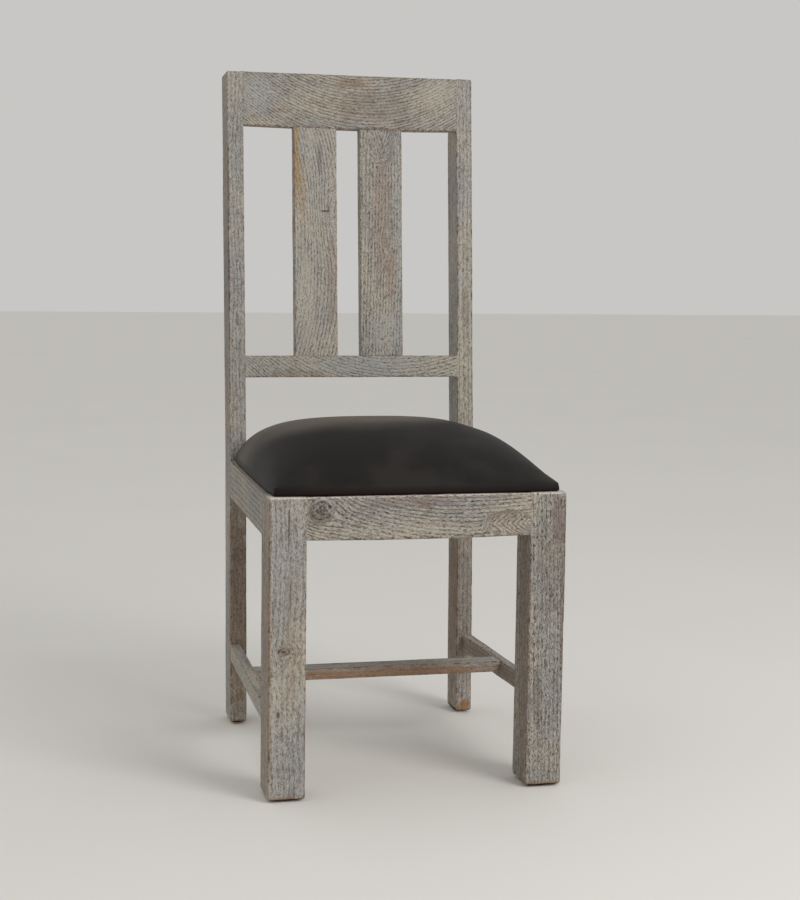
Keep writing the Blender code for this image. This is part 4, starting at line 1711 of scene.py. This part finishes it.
@dataclass
class SeatPad:
    """The stuffed leather seat: a dome, a rolled edge, and a strip turned in under the board."""

    sizes: ChairSizes = SIZES
    inset: float = 0.004
    front_inset: float = 0.0065
    leather: float = 0.0012
    turn_in: float = 0.038
    board: float = 0.008
    foam_edge: float = 0.0015
    crown_height: float = 0.073
    corner_pull: float = 0.02
    corner_power: int = 8
    crown_side: tuple[float, float] = (4.0, 0.52)
    crown_front: tuple[float, float] = (1.75, 0.72)
    crown_rear: tuple[float, float] = (4.6, 0.42)
    cells: int = 104
    flare: float = 0.0018
    roll: float = 0.0011
    pucker: float = 0.0003
    # painted shade: how far below the rim the lower edge is painted dark, and over what height it fades
    painted_shade_below: float = 0.006
    painted_shade_fade: float = 0.008
    swelling: Swelling = Swelling()

    @property
    def front(self) -> float:
        """Give the y of the pad's front edge."""
        return self.sizes.front + self.front_inset

    @property
    def back(self) -> float:
        """Give the y of the pad's rear edge."""
        return self.sizes.post_front - self.sizes.gap

    @property
    def bottom(self) -> float:
        """Give the height of the turned-in leather."""
        return self.sizes.frame_top + self.sizes.gap

    @property
    def board_bottom(self) -> float:
        """Give the height of the board's underside."""
        return self.bottom + self.leather + self.sizes.gap

    @property
    def rim(self) -> float:
        """Give the height at which the dome meets the rolled edge."""
        return self.board_bottom + self.board + self.sizes.gap + self.foam_edge + self.leather

    def plan(self, across: float, along: float, inset: float) -> tuple[float, float]:
        """Give a point of the pad's plan.

        Args:
            across: The share of the way from the middle to a side, -1 to 1.
            along: The share of the way from the middle to the front or rear, -1 to 1.
            inset: How far the whole plan is drawn in.

        Returns:
            The x and the y.
        """
        size = self.sizes
        half_depth = (self.back - self.front) / 2 - inset
        taper = (size.front_width - size.rear_width) / 4 * along
        half_width = (size.front_width + size.rear_width) / 4 - taper - self.inset - inset
        x = across * half_width * (1 - self.corner_pull * abs(along) ** self.corner_power)
        y = along * half_depth * (1 - self.corner_pull * abs(across) ** self.corner_power)
        return x, y + (self.front + self.back) / 2

    def crown(self, across: float, along: float) -> float:
        """Give the dome's height at a place.

        Args:
            across: The share of the way from the middle to a side, -1 to 1.
            along: The share of the way from the middle to the front or rear, -1 to 1.

        Returns:
            The height as a share of the dome's top.
        """
        wide = (1 - abs(across) ** self.crown_side[0]) ** self.crown_side[1]
        power, curve = self.crown_front if along < 0 else self.crown_rear
        return wide * (1 - abs(along) ** power) ** curve

    def build(self) -> list[bpy.types.Object]:
        """Make the pad, swell it and close it.

        Returns:
            The pad.
        """
        pad = self._cage()
        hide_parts("seat_cover", "seat_foam")
        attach(pad, BODY)
        self._swell(pad)
        self._round_off(pad)
        pad.data.materials.append(Leather().material("dark_leather"))
        return [pad]

    def _cage(self) -> bpy.types.Object:
        """Make the leather form round the place of the board, open only over the board's middle.

        Returns:
            The form as an object.
        """
        shape = bmesh.new()
        bmesh.ops.create_grid(shape, x_segments=self.cells, y_segments=self.cells, size=1.0)
        shares = {}
        for vertex in shape.verts:
            across = math.sin(math.pi / 2 * vertex.co.x)
            along = math.sin(math.pi / 2 * vertex.co.y)
            shares[vertex] = (across, along)
            x, y = self.plan(across, along, self.flare)
            vertex.co = (x, y, self.rim + self.crown_height * self.crown(across, along))
        for inset, height, soft in self._steps():
            border = [edge for edge in shape.edges if edge.is_boundary]
            before = {vertex for edge in border for vertex in edge.verts}
            links = {tuple(round(c, 7) for c in vertex.co): shares[vertex] for vertex in before}
            made = bmesh.ops.extrude_edge_only(shape, edges=border)["geom"]
            for vertex in (part for part in made if isinstance(part, bmesh.types.BMVert)):
                across, along = links[tuple(round(c, 7) for c in vertex.co)]
                shares[vertex] = (across, along)
                ripple = self.pucker * self._ripple(across, along) if soft else 0.0
                x, y = self.plan(across, along, inset + ripple)
                vertex.co = (x, y, height)
        mesh = bpy.data.meshes.new("leather_pad")
        shape.normal_update()
        bmesh.ops.recalc_face_normals(shape, faces=shape.faces[:])
        shape.to_mesh(mesh)
        shape.free()
        mesh.shade_smooth()
        pad = bpy.data.objects.new("leather_pad", mesh)
        bpy.context.scene.collection.objects.link(pad)
        return pad

    def _steps(self) -> Iterator[tuple[float, float, bool]]:
        """Lead the leather from the dome's rim down its edge, under the board and back over its top.

        Yields:
            How far each step is drawn in, its height, and whether the staples' pull shows there.
        """
        for share, drop in ((0.55, 0.0030), (0.22, 0.0060), (0.0, 0.0090)):
            yield share * self.flare, self.rim - drop, True
        for share, rise, soft in ((0.3, 0.0016, True), (1.6, 0.0004, True), (3.4, 0.0, False)):
            yield share * self.roll, self.bottom + rise, soft
        lip = self.board_bottom - self.sizes.gap
        above = lip + self.board + 2 * self.sizes.gap
        yield self.turn_in, self.bottom, False
        yield self.turn_in + self.leather / 2, (self.bottom + lip) / 2, False
        yield self.turn_in, lip, False
        yield self.leather, lip, False
        yield self.leather, above, False
        yield self.turn_in, above, False

    def _ripple(self, across: float, along: float) -> float:
        """Give the small pull of the leather between its staples, round the edge.

        Args:
            across: The share of the way from the middle to a side, -1 to 1.
            along: The share of the way from the middle to the front or rear, -1 to 1.

        Returns:
            The pull, from 0 to 1.
        """
        turn = math.atan2(along, across)
        return 0.5 + 0.5 * noise.noise(Vector((math.cos(turn) * 7, math.sin(turn) * 7, 4.2)))

    def _hold(self, pad: bpy.types.Object) -> bpy.types.VertexGroup:
        """Fix the leather below its rolled edge, and less and less above it.

        Args:
            pad: The leather form.

        Returns:
            The group that holds it.
        """
        held = pad.vertex_groups.new(name="held")
        for vertex in pad.data.vertices:
            rise = (vertex.co.z - self.rim - self.swelling.hold_rise) / self.swelling.hold_fade
            weight = min(1.0, max(0.0, 1.0 - rise))
            if weight > 0:
                held.add([vertex.index], weight, "REPLACE")
        return held

    def _swell(self, pad: bpy.types.Object) -> None:
        """Let the stuffing press the leather out, and keep its dome within its cap.

        Args:
            pad: The leather form, changed in place.
        """
        rest = [vertex.co.copy() for vertex in pad.data.vertices]
        normals = [vertex.normal.copy() for vertex in pad.data.vertices]
        for vertex, place, normal in zip(pad.data.vertices, rest, normals):
            free = min(1.0, max(0.0, (place.z - self.rim) / self.swelling.fade))
            vertex.co = place - normal * self.swelling.cap * free
        start = [vertex.co.copy() for vertex in pad.data.vertices]
        swollen = self._pressed(pad)
        for vertex, before, after in zip(pad.data.vertices, start, swollen):
            move = after - before
            far = move.length
            if far > self.swelling.cap:
                move *= self.swelling.cap / far
            vertex.co = before + move
        top = max(vertex.co.z for vertex in pad.data.vertices)
        lift = self.crown_height / (top - self.rim)
        LOG.info("leather swelled to %.1f mm over its rim", (top - self.rim) / MM)
        for vertex in pad.data.vertices:
            if vertex.co.z > self.rim:
                vertex.co.z = self.rim + (vertex.co.z - self.rim) * lift

    def _pressed(self, pad: bpy.types.Object) -> list[Vector]:
        """Press the leather out in a simulation.

        Args:
            pad: The leather form, whose own points stay where they are.

        Returns:
            Where each of its points ends.
        """
        group = self._hold(pad)
        cloth = pad.modifiers.new("swell", "CLOTH")
        cloth.settings.use_pressure = True
        cloth.settings.uniform_pressure_force = self.swelling.pressure
        cloth.settings.tension_stiffness = self.swelling.stiffness
        cloth.settings.compression_stiffness = self.swelling.stiffness
        cloth.settings.bending_stiffness = self.swelling.bending
        cloth.settings.quality = self.swelling.quality
        cloth.settings.effector_weights.gravity = 0.0
        cloth.settings.vertex_group_mass = group.name
        scene = bpy.context.scene
        for step in range(1, self.swelling.frames + 1):
            scene.frame_set(step)
        shown = pad.evaluated_get(bpy.context.evaluated_depsgraph_get())
        swollen = [vertex.co.copy() for vertex in shown.data.vertices]
        pad.modifiers.remove(cloth)
        scene.frame_set(1)
        return swollen

    def _round_off(self, pad: bpy.types.Object) -> None:
        """Refine the leather once and note where its lower edge takes painted shade.

        Args:
            pad: The leather form, changed in place.
        """
        pad.vertex_groups.clear()
        finer = pad.modifiers.new("finer", "SUBSURF")
        finer.levels = 1
        finer.render_levels = 1
        shown = pad.evaluated_get(bpy.context.evaluated_depsgraph_get())
        mesh = bpy.data.meshes.new_from_object(shown)
        pad.modifiers.remove(finer)
        pad.data = mesh
        mesh.name = "leather_pad"
        self._close(mesh)
        # painted shade: the share is 1 on the lower edge and fades to 0 near the rim
        rises = [(vertex.co.z - self.rim + self.painted_shade_below) / self.painted_shade_fade for vertex in mesh.vertices]
        wear_and_shade = [min(1.0, max(0.0, 1.0 - rise)) for rise in rises]
        mesh.attributes.new("wear_and_shade", "FLOAT", "POINT").data.foreach_set("value", wear_and_shade)
        mesh.shade_smooth()

    def _close(self, mesh: bpy.types.Mesh) -> None:
        """Close the form over the board with a flat fan.

        Args:
            mesh: The leather's mesh, changed in place.
        """
        shape = bmesh.new()
        shape.from_mesh(mesh)
        border = [edge for edge in shape.edges if edge.is_boundary]
        made = bmesh.ops.extrude_edge_only(shape, edges=border)["geom"]
        inner = [part for part in made if isinstance(part, bmesh.types.BMVert)]
        bmesh.ops.pointmerge(shape, verts=inner, merge_co=sum((v.co for v in inner), Vector()) / len(inner))
        shape.normal_update()
        bmesh.ops.recalc_face_normals(shape, faces=shape.faces[:])
        shape.to_mesh(mesh)
        shape.free()


@dataclass(frozen=True)
class Plain:
    """A finish for what is hardly seen: bare wood, plywood, steel or plastic."""

    light: Colour
    dark: Colour
    roughness: float
    grain: tuple[float, float, float]
    depth: float = 0.0002
    metallic: float = 0.0

    def material(self, name: str) -> bpy.types.Material:
        """Write the finish as a material.

        Args:
            name: The material's name.

        Returns:
            The material.
        """
        swatch = Swatch(name)
        x, y, z = swatch.place()
        streak = swatch.noise(x * self.grain[0], y * self.grain[1], z * self.grain[2], 3.0, 0.6)
        cloud = swatch.noise(x * 30.0, y * 30.0, z * 30.0, 2.0)
        colour = swatch.mix((streak * 0.8 + cloud * 0.4 - 0.1).held(), self.dark, self.light)
        rough = (streak - 0.5) * 0.2 + self.roughness
        return swatch.finish(colour, rough, streak, self.depth, self.metallic)


@dataclass
class Fittings:
    """The CAD parts that stay as they are and take a better finish."""

    bare_wood: Plain = Plain(tint(165, 132, 96), tint(120, 88, 60), 0.75, (26.0, 26.0, 210.0))
    plywood: Plain = Plain(tint(176, 150, 112), tint(140, 112, 78), 0.78, (14.0, 190.0, 700.0))
    steel: Plain = Plain(tint(176, 176, 178), tint(128, 126, 124), 0.36, (300.0, 300.0, 300.0), 0.00005, 1.0)
    plastic: Plain = Plain(tint(52, 50, 48), tint(30, 29, 28), 0.5, (240.0, 240.0, 240.0), 0.00008)

    def build(self) -> list[bpy.types.Object]:
        """Dress every CAD node that still shows.

        Returns:
            The nodes.
        """
        dressed = []
        kinds = {
            "corner_block": self.bare_wood.material("bare_wood"),
            "seat_board": self.plywood.material("plywood"),
            "seat_screw": self.steel.material("steel"),
            "foot_glide": self.plastic.material("dark_plastic"),
        }
        kinds["cover_staple"] = kinds["glide_pin"] = kinds["seat_screw"]
        for name, node in sorted(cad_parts.items()):
            for start, material in kinds.items():
                if name.startswith(start):
                    node.data.materials.clear()
                    node.data.materials.append(material)
                    dressed.append(node)
        return dressed


@dataclass
class Studio:
    """The pale floor, the soft light and the camera."""

    camera_place: tuple[float, float, float] = (-0.6514, -2.7609, 0.8022)
    yaw: float = 14.0181
    pitch: float = 6.3738
    roll: float = 0.7933
    lens: float = 70.756
    sensor: float = 36.0
    floor_size: float = 40.0
    floor_colour: Colour = tint(232, 230, 226)
    sky_colour: Colour = tint(200, 199, 197)
    sky_light: Colour = (1.0, 0.99, 0.975)
    sky_strength: float = 0.62
    key_place: tuple[float, float, float] = (1.9, -2.9, 2.3)
    key_size: float = 1.8
    key_power: float = 58.0
    key_colour: Colour = (1.0, 0.985, 0.96)
    key_aim: tuple[float, float, float] = (0.0, 0.0, 0.5)

    def build(self) -> None:
        """Set the stage."""
        self._floor()
        self._sky()
        self._key()
        self._camera()

    def _floor(self) -> None:
        """Lay the floor."""
        shape = bmesh.new()
        bmesh.ops.create_grid(shape, x_segments=8, y_segments=8, size=self.floor_size / 2)
        mesh = bpy.data.meshes.new("floor")
        shape.to_mesh(mesh)
        shape.free()
        floor = bpy.data.objects.new("floor", mesh)
        bpy.context.scene.collection.objects.link(floor)
        swatch = Swatch("floor")
        x, y, _ = swatch.place()
        cloud = swatch.noise(x * 1.5, y * 1.5, 0.0, 3.0)
        paler = tuple(min(1.0, value * 1.04) for value in self.floor_colour)
        mesh.materials.append(swatch.finish(swatch.mix(cloud, self.floor_colour, paler), 0.85, specular=0.2))
        floor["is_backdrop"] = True

    def _sky(self) -> None:
        """Make the even light all round, and the pale backdrop that the camera and mirrors see."""
        world = bpy.data.worlds.new("studio")
        bpy.context.scene.world = world
        world.use_nodes = True
        tree = world.node_tree
        tree.nodes.clear()
        path = tree.nodes.new("ShaderNodeLightPath")
        light = tree.nodes.new("ShaderNodeBackground")
        light.inputs["Color"].default_value = (*self.sky_light, 1.0)
        light.inputs["Strength"].default_value = self.sky_strength
        seen = tree.nodes.new("ShaderNodeBackground")
        seen.inputs["Color"].default_value = (*self.sky_colour, 1.0)
        choose = tree.nodes.new("ShaderNodeMixShader")
        output = tree.nodes.new("ShaderNodeOutputWorld")
        direct = tree.nodes.new("ShaderNodeMath")
        clear = tree.nodes.new("ShaderNodeMath")
        clear.use_clamp = True
        tree.links.new(path.outputs["Is Camera Ray"], direct.inputs[0])
        tree.links.new(path.outputs["Is Glossy Ray"], direct.inputs[1])
        tree.links.new(direct.outputs[0], clear.inputs[0])
        tree.links.new(path.outputs["Is Transmission Ray"], clear.inputs[1])
        tree.links.new(clear.outputs[0], choose.inputs[0])
        tree.links.new(light.outputs[0], choose.inputs[1])
        tree.links.new(seen.outputs[0], choose.inputs[2])
        tree.links.new(choose.outputs[0], output.inputs["Surface"])

    def _key(self) -> None:
        """Hang the one soft lamp, in front and to the right."""
        data = bpy.data.lights.new("key", "AREA")
        data.shape = "DISK"
        data.size = self.key_size
        data.energy = self.key_power
        data.color = self.key_colour
        lamp = bpy.data.objects.new("key", data)
        bpy.context.scene.collection.objects.link(lamp)
        place = Vector(self.key_place)
        aim = Vector(self.key_aim) - place
        lamp.matrix_world = Matrix.Translation(place) @ aim.to_track_quat("-Z", "Y").to_matrix().to_4x4()

    def _camera(self) -> None:
        """Stand the camera where the photograph was taken from."""
        yaw, pitch, roll = (math.radians(angle) for angle in (self.yaw, self.pitch, self.roll))
        reach = math.cos(pitch)
        forward = Vector((math.sin(yaw) * reach, math.cos(yaw) * reach, -math.sin(pitch)))
        level = Vector((math.cos(yaw), -math.sin(yaw), 0.0))
        above = level.cross(forward)
        right = level * math.cos(roll) + above * math.sin(roll)
        up = above * math.cos(roll) - level * math.sin(roll)
        data = bpy.data.cameras.new("camera")
        data.lens = self.lens
        data.sensor_width = self.sensor
        data.sensor_fit = "AUTO"
        camera = bpy.data.objects.new("camera", data)
        bpy.context.scene.collection.objects.link(camera)
        turn = Matrix((right, up, -forward)).transposed().to_4x4()
        camera.matrix_world = Matrix.Translation(Vector(self.camera_place)) @ turn
        bpy.context.scene.camera = camera


def write_sizes() -> None:
    """Gather the CAD box and the dressed chair's box side by side, in a list that is not used further."""
    boxes = [[[float(value) for value in corner] for corner in box] for box in (CAD_BOX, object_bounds())]


def main() -> None:
    """Dress the chair, one sub-assembly after another."""
    logging.basicConfig(level=logging.INFO, format="%(message)s")
    view = bpy.context.scene.view_settings
    view.view_transform = "Standard"
    for assembly in (Legs(), Posts(), BackRails(), SeatFrame(), Stretchers(), SeatPad(), Fittings()):
        for piece in assembly.build():
            LOG.info("%s: %s, %d faces", type(assembly).__name__, piece.name, len(piece.data.polygons))
    Studio().build()
    write_sizes()


if __name__ == "__main__":
    main()
